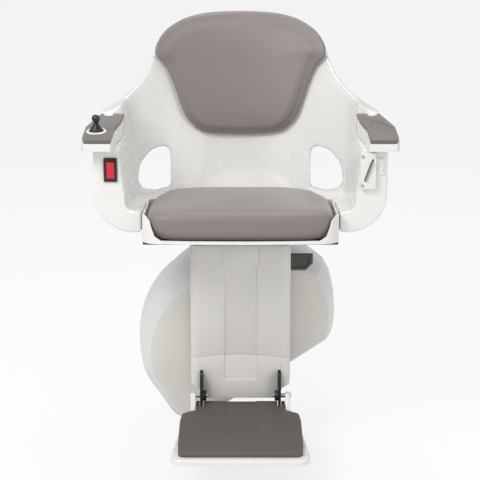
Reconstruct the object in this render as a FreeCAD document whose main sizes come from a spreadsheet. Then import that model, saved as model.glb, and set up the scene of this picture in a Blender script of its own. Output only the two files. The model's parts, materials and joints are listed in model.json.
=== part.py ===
import FreeCAD, Part
import math
import os
import re
import Sketcher
from FreeCAD import Placement, Rotation, Vector

# Stairlift chair: a carriage that rides on a sloping tube, an upright leg that a levelling gear keeps
# plumb, a folding footrest, and a swivelling seat with a moulded shell, folding arms and a folding seat.
# Millimetres. +Z is up, the sitter faces -Y and +X is on the viewer's right. The origin is on the rail's
# centreline where the levelling axis crosses it. The rail rises to the right at rail_angle.

doc = FreeCAD.newDocument("StairliftChair")
sheet = doc.addObject("Spreadsheet::Sheet", "Sizes")

SIZES = (
    # rail and carriage; these lie in the rail's own frame, X along the rail and Z square to it
    ("rail_angle", 34, "slope of the rail in degrees"),
    ("rail_radius", 40, "radius of the rail tube"),
    ("fit", 0.05, "radial clearance of a shaft that turns in its hole"),
    ("face_gap", 0.3, "gap between faces that move past each other"),
    ("carriage_low_reach", 275, "cover from the levelling axis to its lower end"),
    ("carriage_high_reach", 226, "cover from the levelling axis to its upper end"),
    ("carriage_crown", 172, "cover above the rail's centreline"),
    ("carriage_floor", 157, "cover below the rail's centreline"),
    ("cover_wall", 4, "wall of the carriage covers"),
    ("cover_back", 58, "plane where the two carriage covers meet, in front of the rail"),
    ("cover_front", 178, "flat front of the carriage cover"),
    ("bevel", 40, "width of the front cover's bevel at the crown"),
    ("skirt_reach", 6, "rear edge of the skirt, in front of the rail's centreline"),
    ("rail_slot", 9, "clearance round the rail in the skirt's end slots"),
    ("panel_thick", 4, "front panel's thickness"),
    ("chassis_front", 70, "front face of the chassis plate"),
    ("chassis_thick", 8, "chassis plate"),
    ("roller_pitch", 120, "rollers from the levelling axis along the rail"),
    ("roller_offset", 62, "roller axle from the rail's centreline"),
    ("roller_width", 52, "roller along its axle"),
    ("roller_rim", 32, "roller's largest radius"),
    ("axle_radius", 8, "roller axle"),
    ("drive_module", 5, "module of the drive pinion"),
    ("drive_teeth", 12, "teeth of the drive pinion"),
    ("drive_width", 30, "face width of the drive pinion"),
    ("drive_drop", 78, "drive shaft below the rail's centreline"),
    ("drive_shaft", 11, "drive shaft's radius"),
    ("gear_module", 3.5, "module of the levelling gears"),
    ("gear_teeth", 48, "teeth of the levelling gear"),
    ("gear_pinion_teeth", 12, "teeth of the levelling pinion"),
    ("gear_front", 166, "front face of the levelling gear"),
    ("gear_width", 14, "face width of the levelling gears"),
    ("spindle_radius", 30, "levelling spindle"),
    ("bush_wall", 5, "wall of the levelling bush"),
    ("hub_wall", 7, "wall of the levelling hub"),
    ("motor_radius", 30, "drive motor"),
    ("motor_length", 92, "drive motor"),
    ("battery_length", 132, "battery along the rail"),
    ("battery_height", 60, "battery square to the rail"),
    ("battery_depth", 84, "battery front to back"),
    # leg
    ("leg_half_width", 112, "leg covers"),
    ("leg_front", 280, "front face of the leg"),
    ("leg_back", 205, "rear face of the leg"),
    ("leg_top", 206, "top edge of the leg covers"),
    ("leg_seam", 57, "drop of the seam between the leg covers at the sides"),
    ("leg_seam_rise", 9, "rise of that seam in the middle"),
    ("leg_bottom", 152, "drop of the leg's lowest edge"),
    ("leg_side_bottom", 120, "drop of the leg's sides"),
    ("leg_wall", 4, "wall of the leg covers"),
    ("recess_half_width", 36, "long recess down the front of the leg"),
    ("recess_top", 159, "upper end of the recess"),
    ("recess_bottom", 107, "drop of the recess's lower end"),
    ("recess_depth", 2, "depth of the recess"),
    ("frame_half_width", 85, "column frame"),
    ("frame_plate", 6, "plate of the column frame"),
    ("frame_web", 213, "rear face of the column frame's web"),
    ("frame_top", 192, "upper face of the column frame"),
    # footrest
    ("footrest_front", 600, "front edge of the footrest"),
    ("footrest_half_width", 145, "footrest"),
    ("footrest_pivot", 296, "footrest hinge, front to back"),
    ("footrest_pivot_drop", 140, "drop of the footrest hinge"),
    ("footrest_pin", 5, "footrest hinge pin's radius"),
    ("footrest_base_drop", 181, "drop of the tray's lower edge"),
    ("tray_height", 12, "footrest tray's rim"),
    ("mat_thick", 11, "footrest mat"),
    ("mat_half_width", 132, "footrest mat"),
    ("ear_inside", 101, "inner face of the footrest's ears"),
    ("ear_thick", 11, "footrest's ears"),
    ("bracket_thick", 6, "black hinge brackets"),
    ("safety_travel", 3, "travel of the safety plate"),
    ("safety_thick", 2.5, "safety plate"),
    # seat
    ("swivel_place", 240, "swivel axis, front to back"),
    ("swivel_post", 18, "swivel post's radius"),
    ("seat_half_width", 207, "seat tray"),
    ("seat_front", 450, "front edge of the seat tray"),
    ("seat_rear", 55, "rear edge of the seat tray"),
    ("seat_base", 252, "front lower edge of the seat tray"),
    ("seat_slope", 4, "slope of the seat tray in degrees"),
    ("tray_wall", 3.5, "wall of the seat tray"),
    ("tray_side", 45, "height of the seat tray's sides at the front"),
    ("cushion_half_width", 199, "seat cushion"),
    ("cushion_thick", 62, "seat cushion at its front crown"),
    ("seat_hinge_place", 67, "seat hinge, front to back"),
    ("seat_hinge_height", 274, "seat hinge"),
    ("hinge_pin", 5, "seat hinge pin's radius"),
    # shell
    ("shell_half_width", 311, "shell outside at the arm posts"),
    ("shell_front", 385, "front face of the arm posts"),
    ("shell_depth", 330, "straight sides to the back of the shell"),
    ("shell_run", 0.33, "straight part of the shell's sides, as a share of their depth"),
    ("shell_corner", 0.47, "radius of the shell's rear corners, as a share of its half width"),
    ("shell_back_place", 40, "back of the shell at the reference height"),
    ("shell_reference", 404, "height where the back's places are given"),
    ("recline", 0.30, "backward run of the back for each unit of height"),
    ("back_gap", 28, "thickness of the double wall at the back"),
    ("inner_half_width", 240, "shell inside at the seat"),
    ("inner_flare", 0.12, "sideways run of the inside for each unit of height"),
    ("inner_floor", 306, "floor of the shell beside the seat"),
    ("shell_bottom", 261, "lowest edge of the shell"),
    ("bottom_round", 84, "round of the shell's lower corners"),
    ("shell_wall", 4, "plastic wall of the shell"),
    ("post_top", 441, "top of the arm posts"),
    ("wing_front", 190, "front end of the shell's wings"),
    ("wing_height", 487, "top of the wings at the arms"),
    ("ear_half_width", 205, "shell at the ears of the back"),
    ("ear_height", 589, "height of those ears"),
    ("back_top", 664, "top of the shell"),
    # arms
    ("arm_front", 420, "front end of the arms"),
    ("arm_outside", 333, "outer side of the arms"),
    ("arm_inside", 255, "inner side of the arms"),
    ("arm_pivot_place", 205, "arm hinge, front to back"),
    ("arm_pivot_height", 473, "arm hinge"),
    ("arm_pin", 4, "arm hinge pin's radius"),
    ("arm_top_front", 467, "top of the pad at the front"),
    ("pad_thick", 8, "arm pad"),
    ("joystick_across", 305, "joystick from the middle of the chair"),
    ("joystick_place", 352, "joystick, front to back"),
    # back cushion
    ("back_cushion_top", 683, "top of the back cushion"),
    ("back_cushion_foot", 404.5, "lowest point of the back cushion"),
    ("back_cushion_thick", 40, "back cushion at its crown"),
    ("back_cushion_ear", 199, "half width of the back cushion at its ears"),
    # switch and belt
    ("switch_across", 274, "rocker switch from the middle of the chair"),
    ("switch_height", 398, "rocker switch"),
    ("belt_across", 268.5, "belt housing from the middle of the chair"),
    ("belt_height", 397, "belt housing"),
)

for row, (alias, number, meaning) in enumerate(SIZES, start=1):
    sheet.set(f"A{row}", meaning)
    sheet.set(f"B{row}", str(number))
    sheet.setAlias(f"B{row}", alias)
doc.recompute()

ALIASES = {alias for alias, number, meaning in SIZES}
FINISHED = []


def bound(formula):
    """Write the sheet's name before each size in a formula."""
    return re.sub(
        r"[a-z][a-z_]*",
        lambda word: "Sizes." + word.group(0) if word.group(0) in ALIASES else word.group(0),
        str(formula),
    )


def value(formula):
    """The number that a formula of sizes gives."""
    return float(sheet.evalExpression(bound(formula)))


def finish(name, piece, tilted=False):
    """Label a sub-part as a node; one in the rail's frame is turned to the rail's slope."""
    piece.Label = name
    if tilted:
        piece.Placement = Placement(Vector(), Rotation(Vector(0, 1, 0), -value("rail_angle")))
        piece.setExpression("Placement.Rotation.Angle", bound("-rail_angle"))
    FINISHED.append((name, piece))
    return piece


def unique(stem):
    """A free object name for a construction step."""
    count = sum(1 for item in doc.Objects if item.Name.startswith(stem))
    return f"{stem}_{count}"


def box(across, along, height):
    """A block; each argument is a pair of formulas, low and high."""
    block = doc.addObject("Part::Box", unique("block"))
    for side, place, (low, high) in zip(
        ("Length", "Width", "Height"), "xyz", (across, along, height)
    ):
        block.setExpression(side, bound(f"({high}) - ({low})"))
        block.setExpression(f"Placement.Base.{place}", bound(low))
    return block


TURNS = {"X": Rotation(Vector(0, 1, 0), 90), "Y": Rotation(Vector(1, 0, 0), -90), "Z": Rotation()}


def rod(radius, axis, span, place):
    """A cylinder along X, Y or Z over a span; place gives its two other coordinates."""
    bar = doc.addObject("Part::Cylinder", unique("rod"))
    bar.setExpression("Radius", bound(radius))
    bar.setExpression("Height", bound(f"({span[1]}) - ({span[0]})"))
    bar.Placement = Placement(Vector(), TURNS[axis])
    others = [letter for letter in "xyz" if letter != axis.lower()]
    bar.setExpression(f"Placement.Base.{axis.lower()}", bound(span[0]))
    for letter, formula in zip(others, place):
        bar.setExpression(f"Placement.Base.{letter}", bound(formula))
    return bar


def many_sided(sides, radius, axis, span, place):
    """A prism with a regular outline, laid like a rod; radius is to its corners."""
    bar = doc.addObject("Part::Prism", unique("prism"))
    bar.Polygon = sides
    bar.setExpression("Circumradius", bound(radius))
    bar.setExpression("Height", bound(f"({span[1]}) - ({span[0]})"))
    bar.Placement = Placement(Vector(), TURNS[axis])
    others = [letter for letter in "xyz" if letter != axis.lower()]
    bar.setExpression(f"Placement.Base.{axis.lower()}", bound(span[0]))
    for letter, formula in zip(others, place):
        bar.setExpression(f"Placement.Base.{letter}", bound(formula))
    return bar


def joined(*pieces):
    whole = doc.addObject("Part::MultiFuse", unique("joined"))
    whole.Shapes = list(pieces)
    return whole


def cut(base, *tools):
    result = doc.addObject("Part::Cut", unique("cut"))
    result.Base = base
    result.Tool = tools[0] if len(tools) == 1 else joined(*tools)
    return result


def common(base, tool):
    result = doc.addObject("Part::Common", unique("common"))
    result.Base = base
    result.Tool = tool
    return result


def formed(shape):
    """A free form whose shape is worked out below from the sheet's sizes."""
    piece = doc.addObject("Part::Feature", unique("form"))
    piece.Shape = shape
    return piece


# Sketched bodies: a plate is an outline padded between two planes, its corners rounded

NORMALS = {"XY_Plane": Vector(0, 0, 1), "XZ_Plane": Vector(0, 1, 0), "YZ_Plane": Vector(1, 0, 0)}


def new_sketch(body, role, level):
    sketch = body.newObject("Sketcher::SketchObject", unique("sketch"))
    plane = [feature for feature in body.Origin.OriginFeatures if feature.Role == role][0]
    sketch.AttachmentSupport = [(plane, "")]
    sketch.MapMode = "FlatFace"
    sketch.setExpression("AttachmentOffset.Base.z", bound(level))
    return sketch


def pin_point(sketch, index, position, place, formulas):
    """Hold one point of a sketch at the place that two formulas give."""
    for kind, number, formula in zip(("DistanceX", "DistanceY"), (place.x, place.y), formulas):
        row = sketch.addConstraint(Sketcher.Constraint(kind, -1, 1, index, position, number))
        sketch.setExpression(f"Constraints[{row}]", bound(formula))


def draw_outline(sketch, points):
    places = [Vector(value(across), value(up), 0) for across, up in points]
    count = len(points)
    first = sketch.GeometryCount
    for index in range(count):
        sketch.addGeometry(Part.LineSegment(places[index], places[(index + 1) % count]), False)
    for index in range(count):
        following = first + (index + 1) % count
        sketch.addConstraint(Sketcher.Constraint("Coincident", first + index, 2, following, 1))
    for index in range(count):
        pin_point(sketch, first + index, 1, places[index], points[index])


def draw_circle(sketch, across, up, radius):
    centre = Vector(value(across), value(up), 0)
    index = sketch.addGeometry(Part.Circle(centre, Vector(0, 0, 1), value(radius)), False)
    row = sketch.addConstraint(Sketcher.Constraint("Radius", index, value(radius)))
    sketch.setExpression(f"Constraints[{row}]", bound(radius))
    pin_point(sketch, index, 3, centre, (across, up))


def level_of(role, low, high):
    """Sketch level for a pad from low to high: a sketch on XZ looks along -Y."""
    return f"-({high})" if role == "XZ_Plane" else low


def edges_of(shape, chosen):
    return [f"Edge{number}" for number, edge in enumerate(shape.Edges, start=1) if chosen(edge)]


def runs_along(edge, direction):
    if not isinstance(edge.Curve, Part.Line):
        return False
    return abs(edge.Curve.Direction.dot(direction)) > 0.999


def soften(body, width, chosen, kind="Fillet"):
    """Round the chosen edges of the body's last feature, or bevel them."""
    doc.recompute()
    base = body.Tip
    names = edges_of(base.Shape, chosen)
    softened = body.newObject(f"PartDesign::{kind}", unique(kind.lower()))
    softened.Base = (base, names)
    softened.setExpression("Radius" if kind == "Fillet" else "Size", bound(width))
    return softened


def plate(role, low, high, points, holes=(), corner=None):
    """A padded outline with round holes; corner is the radius of its corners."""
    body = doc.addObject("PartDesign::Body", unique("body"))
    sketch = new_sketch(body, role, level_of(role, low, high))
    draw_outline(sketch, points)
    pad = body.newObject("PartDesign::Pad", unique("pad"))
    pad.Profile = sketch
    pad.setExpression("Length", bound(f"({high}) - ({low})"))
    if corner:
        soften(body, corner, lambda edge: runs_along(edge, NORMALS[role]))
    if holes:
        pocket(body, role, low, high, circles=holes)
    return body


def pocket(body, role, low, high, points=None, circles=()):
    """Cut an outline or circles out of a body between two planes."""
    doc.recompute()
    before = body.Shape.Volume
    sketch = new_sketch(body, role, level_of(role, low, high))
    if points:
        draw_outline(sketch, points)
    for circle in circles:
        draw_circle(sketch, *circle)
    hollow = body.newObject("PartDesign::Pocket", unique("pocket"))
    hollow.Profile = sketch
    hollow.Reversed = True
    hollow.setExpression("Length", bound(f"({high}) - ({low})"))
    doc.recompute()
    if body.Shape.Volume > before - 1:
        raise ValueError(f"{hollow.Name} cuts nothing")
    return hollow


# Free-form helpers


def arc(start, middle, end):
    return Part.Arc(Vector(*start), Vector(*middle), Vector(*end)).toShape()


def line(start, end):
    return Part.LineSegment(Vector(*start), Vector(*end)).toShape()


def prism(points, direction, corner=0):
    """A polygon pushed along a direction, its long edges rounded."""
    wire = Part.makePolygon([Vector(*point) for point in points + points[:1]])
    solid = Part.Face(wire).extrude(Vector(*direction))
    if corner:
        way = Vector(*direction).normalize()
        solid = solid.makeFillet(corner, [edge for edge in solid.Edges if runs_along(edge, way)])
    return solid


def turned(sides, levels):
    """A turned form on Z with flat sides; each level is a height and a radius."""
    rings = []
    for height, radius in levels:
        turns = [2 * math.pi * side / sides for side in range(sides)]
        rings.append([Vector(radius * math.cos(turn), radius * math.sin(turn), height) for turn in turns])
    outlines = [rings[0], rings[-1]]
    for low, high in zip(rings, rings[1:]):
        for side in range(sides):
            following = (side + 1) % sides
            outlines.append([low[side], low[following], high[following], high[side]])
    faces = [Part.Face(Part.makePolygon(outline + outline[:1])) for outline in outlines]
    return Part.Solid(Part.Shell(faces))


def mirrored(shape):
    return shape.mirror(Vector(), Vector(1, 0, 0))


def both_sides(shape):
    return shape.fuse(mirrored(shape))


# Toothed wheels: involute flanks, in the XZ plane, with a tooth straight up


def involute_turn(radius, base_radius):
    if radius <= base_radius:
        return 0.0
    unwound = math.sqrt((radius / base_radius) ** 2 - 1)
    return unwound - math.atan(unwound)


def toothed_wheel(teeth, module, low, high, bore, slack=0.45):
    """An involute spur wheel on the Y axis; slack is the backlash taken off each tooth."""
    pitch_radius = teeth * module / 2
    base_radius = pitch_radius * math.cos(math.radians(20))
    tip = pitch_radius + 0.9 * module
    root = pitch_radius - 1.2 * module
    half_tooth = math.pi / (2 * teeth) - slack / (2 * pitch_radius)
    turn_at_pitch = involute_turn(pitch_radius, base_radius)
    levels = (root, pitch_radius, tip)
    flank = [(r, half_tooth + turn_at_pitch - involute_turn(r, base_radius)) for r in levels]
    points = []
    for tooth in range(teeth):
        middle = math.pi / 2 - 2 * math.pi * tooth / teeth
        side = [(r, middle + turn) for r, turn in flank]
        side += [(r, middle - turn) for r, turn in reversed(flank)]
        points += [Vector(r * math.cos(t), low, r * math.sin(t)) for r, t in side]
    wheel = Part.Face(Part.makePolygon(points + points[:1])).extrude(Vector(0, high - low, 0))
    return wheel.cut(Part.makeCylinder(bore, high - low, Vector(0, low, 0), Vector(0, 1, 0)))


# Carriage


def carriage_outline(place, inset_low=0.0, inset_high=0.0, inset_crown=0.0, inset_floor=0.0):
    """The carriage's bean-shaped outline in the plane y = place, smaller by the insets."""
    low = value("carriage_low_reach") - inset_low
    high = value("carriage_high_reach") - inset_high
    crown = value("carriage_crown") - inset_crown
    floor = value("carriage_floor") - inset_floor
    low_end = (-low, place, -0.06 * crown)
    top = (-0.27 * low, place, crown)
    high_end = (high, place, -0.06 * crown)
    foot_high = (0.67 * high, place, -floor)
    foot_low = (-0.82 * low, place, -floor)
    corner_low = (-low, place, -0.67 * floor)
    edges = [
        arc(low_end, (-0.805 * low, place, 0.587 * crown), top),
        arc(top, (0.5 * high, place, 0.81 * crown), high_end),
        arc(high_end, (0.915 * high, place, -0.55 * floor), foot_high),
        line(foot_high, foot_low),
        arc(foot_low, (-0.945 * low, place, -0.9 * floor), corner_low),
        line(corner_low, low_end),
    ]
    return Part.Wire(edges)


def cover_sections(shrink, back, middle, front):
    """Outlines of the front cover from its rear edge to its flat front."""
    bevel = value("bevel")
    return [
        carriage_outline(back, shrink, shrink, shrink, shrink),
        carriage_outline(middle, shrink + 0.15 * bevel, shrink + 0.1 * bevel, shrink + 0.2 * bevel, shrink),
        carriage_outline(front, shrink + 0.75 * bevel, shrink + 0.5 * bevel, shrink + bevel, shrink + 8),
    ]


COVER_POSTS = ((-190, 44), (60, 102), (178, -20), (-76, -98))


def make_carriage_covers():
    wall = value("cover_wall")
    back = -value("cover_back")
    front = -value("cover_front")
    middle = 0.5 * (back + front) - 8
    outside = Part.makeLoft(cover_sections(0, back, middle, front), True, True)
    inside = Part.makeLoft(cover_sections(wall, back + 0.1, middle, front + wall), True, True)
    opening = value("spindle_radius + bush_wall + hub_wall + 6")
    hole = Part.makeCylinder(opening, 60, Vector(0, front - 20, 0), Vector(0, 1, 0))
    cover = outside.cut(inside).cut(hole)
    plate_face = -value("chassis_front")
    for across, up in COVER_POSTS:
        cover = cover.fuse(
            Part.makeCylinder(6, plate_face - front - 2, Vector(across, front + 2, up), Vector(0, 1, 0))
        )
    finish("carriage_front_cover", formed(cover), tilted=True)

    panel_front = front - value("panel_thick")
    bevel = value("bevel")
    seam = 3
    face = Part.Face(carriage_outline(front, 0.75 * bevel + seam, 0.5 * bevel + seam, bevel + seam, 8 + seam))
    panel = face.extrude(Vector(0, panel_front - front, 0)).cut(hole)
    rim = [edge for edge in panel.Edges if abs(edge.CenterOfMass.y - panel_front) < 0.01]
    far = [edge for edge in rim if edge.BoundBox.DiagonalLength > 2 * opening]
    panel = panel.makeChamfer(1.5, far)
    finish("carriage_front_panel", formed(panel), tilted=True)

    skirt_end = -value("skirt_reach")
    ring = Part.Face(carriage_outline(back)).extrude(Vector(0, skirt_end - back, 0))
    hollow = Part.Face(carriage_outline(back, wall, wall, wall, wall)).extrude(Vector(0, skirt_end - back, 0))
    slot = value("rail_radius + rail_slot")
    reach = value("carriage_low_reach + carriage_high_reach")
    passage = Part.makeCylinder(slot, 2 * reach, Vector(-reach, 0, 0), Vector(1, 0, 0))
    finish("carriage_rear_cover", formed(ring.cut(hollow).cut(passage)), tilted=True)


def make_carriage_guard():
    """Dark wedge between the top of the front panel and the leg."""
    low, high = "-cover_front - panel_thick - 7", "-cover_front - panel_thick"
    guard = plate(
        "XZ_Plane",
        low,
        high,
        [(104, 162), (165, 162), (165, 140), (149, 123), (104, 123)],
    )
    pocket(guard, "XZ_Plane", low, f"{low} + 3", [(116, 156), (158, 156), (158, 142), (146, 130), (116, 130)])
    return guard


def make_chassis():
    drop = "-drive_drop"
    spots = [(f"{s} * roller_pitch", f"{u} * roller_offset") for s in (-1, 1) for u in (-1, 1)]
    holes = [(across, up, "axle_radius + fit") for across, up in spots]
    holes.append((0, drop, "drive_shaft + 3"))
    rim = [(-205, -112), (150, -112), (188, -60), (192, 8), (108, 112), (-112, 118), (-205, 58)]
    finish(
        "carriage_chassis",
        plate("XZ_Plane", "-chassis_front", "-chassis_front + chassis_thick", rim, holes),
        tilted=True,
    )


def make_rollers():
    half = "roller_width / 2"
    width = value("roller_width")
    offset = value("roller_offset")
    groove = []
    for share in (-0.5, -0.27, 0.27, 0.5):
        rise = math.sqrt(value("rail_radius") ** 2 - (share * width) ** 2)
        groove.append((share * width, offset - rise - value("face_gap")))
    names = {
        (-1, 1): "roller_low_upper",
        (1, 1): "roller_high_upper",
        (-1, -1): "roller_low_lower",
        (1, -1): "roller_high_lower",
    }
    axles = []
    for (side, level), name in names.items():
        place = (f"{side} * roller_pitch", f"{level} * roller_offset")
        drum = formed(turned(24, groove))
        drum.Placement = Placement(Vector(value(place[0]), 0, value(place[1])), TURNS["Y"])
        bore = rod("axle_radius + fit", "Y", (f"-{half} - 1", f"{half} + 1"), place)
        finish(name, cut(drum, bore), tilted=True)
        shank = rod("axle_radius", "Y", ("-chassis_front", f"{half} + 8"), place)
        rim = ("-chassis_front + chassis_thick", f"-{half} - face_gap")
        shoulder = many_sided(12, "axle_radius + 5", "Y", rim, place)
        head = many_sided(6, "axle_radius + 6", "Y", (f"{half} + face_gap", f"{half} + 8"), place)
        axles.append(joined(shank, shoulder, head))
    finish("roller_axles", joined(*axles), tilted=True)


def make_drive():
    drop = value("drive_drop")
    width = value("drive_width")
    low = -0.5 * width
    wheel = toothed_wheel(
        int(value("drive_teeth")), value("drive_module"), low, low + width, value("drive_shaft") - 0.5
    )
    back = value("-chassis_front - 9")
    shaft = Part.makeCylinder(value("drive_shaft"), 0.5 * width + 4 - back, Vector(0, back, 0), Vector(0, 1, 0))
    pinion = wheel.fuse(shaft)
    pinion.translate(Vector(0, 0, -drop))
    finish("drive_pinion", formed(pinion.removeSplitter()), tilted=True)

    case = plate(
        "XZ_Plane",
        "-chassis_front - 66",
        "-chassis_front",
        [(-48, "-drive_drop - 32"), (62, "-drive_drop - 32"), (62, "-drive_drop + 30"), (-48, "-drive_drop + 30")],
        [(0, "-drive_drop", "drive_shaft + fit")],
        corner=10,
    )
    finish("drive_gearbox", case, tilted=True)
    can = many_sided(
        24, "motor_radius", "X", (62, "62 + motor_length"), ("-chassis_front - 34", "-drive_drop - 1")
    )
    cap = many_sided(
        16,
        "motor_radius - 7",
        "X",
        ("62 + motor_length", "62 + motor_length + 14"),
        ("-chassis_front - 34", "-drive_drop - 1"),
    )
    finish("drive_motor", joined(can, cap), tilted=True)


def make_levelling():
    gear_teeth = int(value("gear_teeth"))
    pinion_teeth = int(value("gear_pinion_teeth"))
    module = value("gear_module")
    low = -value("gear_front")
    high = low + value("gear_width")
    hub_radius = value("spindle_radius + bush_wall + hub_wall")
    finish("levelling_gear", formed(toothed_wheel(gear_teeth, module, low, high, hub_radius)), tilted=True)

    rise = 0.5 * module * (gear_teeth + pinion_teeth)
    pinion = toothed_wheel(pinion_teeth, module, low + 1, high - 1, 5)
    gap_down = 0 if pinion_teeth % 2 else 180 / pinion_teeth
    pinion.Placement = Placement(Vector(), Rotation(Vector(0, 1, 0), gap_down))
    shaft_length = value("gear_front - chassis_front") - 20
    shaft = Part.makeCylinder(6, shaft_length, Vector(0, low + 1, 0), Vector(0, 1, 0))
    pinion = pinion.fuse(shaft)
    pinion.translate(Vector(0, 0, rise))
    finish("levelling_pinion", formed(pinion.removeSplitter()), tilted=True)

    axis = (0, "0.5 * gear_module * (gear_teeth + gear_pinion_teeth)")
    span = ("-gear_front + gear_width + 6", "-chassis_front")
    can = many_sided(24, "motor_radius - 3", "Y", span, axis)
    well = rod("6 + fit", "Y", ("-gear_front", "-chassis_front - 19"), axis)
    finish("levelling_motor", cut(can, well), tilted=True)

    flange = many_sided(16, "spindle_radius + 16", "Y", ("-chassis_front - 9", "-chassis_front"), (0, 0))
    shoulder = many_sided(
        24,
        "spindle_radius + bush_wall + 3",
        "Y",
        ("-gear_front + gear_width + 3 + face_gap", "-chassis_front - 9"),
        (0, 0),
    )
    shank = rod("spindle_radius", "Y", ("-frame_web - 8", "-chassis_front - 9"), (0, 0))
    finish("levelling_spindle", joined(flange, shoulder, shank), tilted=True)
    ring = many_sided(8, "spindle_radius + bush_wall + 2", "Y", ("-frame_web - 6", "-frame_web - face_gap"), (0, 0))
    hollow = rod("spindle_radius + 0.2", "Y", ("-frame_web - 8", "-frame_web + 2"), (0, 0))
    finish("levelling_nut", cut(ring, hollow))

    span = ("-frame_web", "-gear_front + gear_width + 3")
    bush = cut(
        rod("spindle_radius + bush_wall", "Y", span, (0, 0)),
        rod("spindle_radius + fit", "Y", ("-frame_web - 1", "-gear_front + gear_width + 5"), (0, 0)),
    )
    finish("levelling_bush", bush)
    hub = joined(
        rod("spindle_radius + bush_wall + hub_wall", "Y", span, (0, 0)),
        many_sided(
            24, "spindle_radius + bush_wall + hub_wall + 26", "Y", ("-frame_web", "-leg_back + 0.5"), (0, 0)
        ),
    )
    bore = rod("spindle_radius + bush_wall", "Y", ("-frame_web - 1", "-gear_front + gear_width + 5"), (0, 0))
    finish("levelling_hub", cut(hub, bore))


def make_carriage_contents():
    end = "-carriage_low_reach + 38"
    cells = []
    for level in (0, 1):
        foot = f"-carriage_floor + 30 + {level} * (battery_height + 4)"
        case = box(
            (end, f"{end} + battery_length"),
            ("-chassis_front - battery_depth", "-chassis_front"),
            (foot, f"{foot} + battery_height"),
        )
        cells.append(case)
    finish("batteries", joined(*cells), tilted=True)

    control = plate(
        "XZ_Plane",
        "-chassis_front - 42",
        "-chassis_front",
        [(-168, 34), (-52, 34), (-52, 104), (-120, 104), (-168, 84)],
        corner=6,
    )
    finish("control_box", control, tilted=True)

    face = "-chassis_front + chassis_thick"
    heads = [many_sided(6, 5, "Y", (face, f"{face} + 3"), spot) for spot in COVER_POSTS]
    finish("cover_screws", joined(*heads), tilted=True)


# Leg


def leg_block(low, high, inset=0):
    """The leg's rounded U-shaped block between two heights."""
    wall = f"{inset} * leg_wall"
    body = plate(
        "XY_Plane",
        low,
        high,
        [
            (f"-leg_half_width + {wall}", f"-leg_front + {wall}"),
            (f"leg_half_width - {wall}", f"-leg_front + {wall}"),
            (f"leg_half_width - {wall}", "-leg_back - 3"),
            (f"-leg_half_width + {wall}", "-leg_back - 3"),
        ],
    )
    soften(
        body,
        f"16 - {wall}",
        lambda edge: runs_along(edge, Vector(0, 0, 1)) and edge.CenterOfMass.y < value("-leg_front + 10"),
    )
    return body


def seam_cutter(gap):
    """A wide cylinder whose crown is the curved seam between the two leg covers."""
    radius = "(leg_half_width ^ 2 + leg_seam_rise ^ 2) / (2 * leg_seam_rise)"
    return rod(
        f"{radius} + {gap}",
        "Y",
        ("-leg_front - 10", "-leg_back + 10"),
        (0, f"-leg_seam + leg_seam_rise - ({radius})"),
    )


def front_recess():
    return box(
        ("-recess_half_width", "recess_half_width"),
        ("-leg_front - 5", "-leg_front + recess_depth"),
        ("-recess_bottom", "recess_top"),
    )


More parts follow.
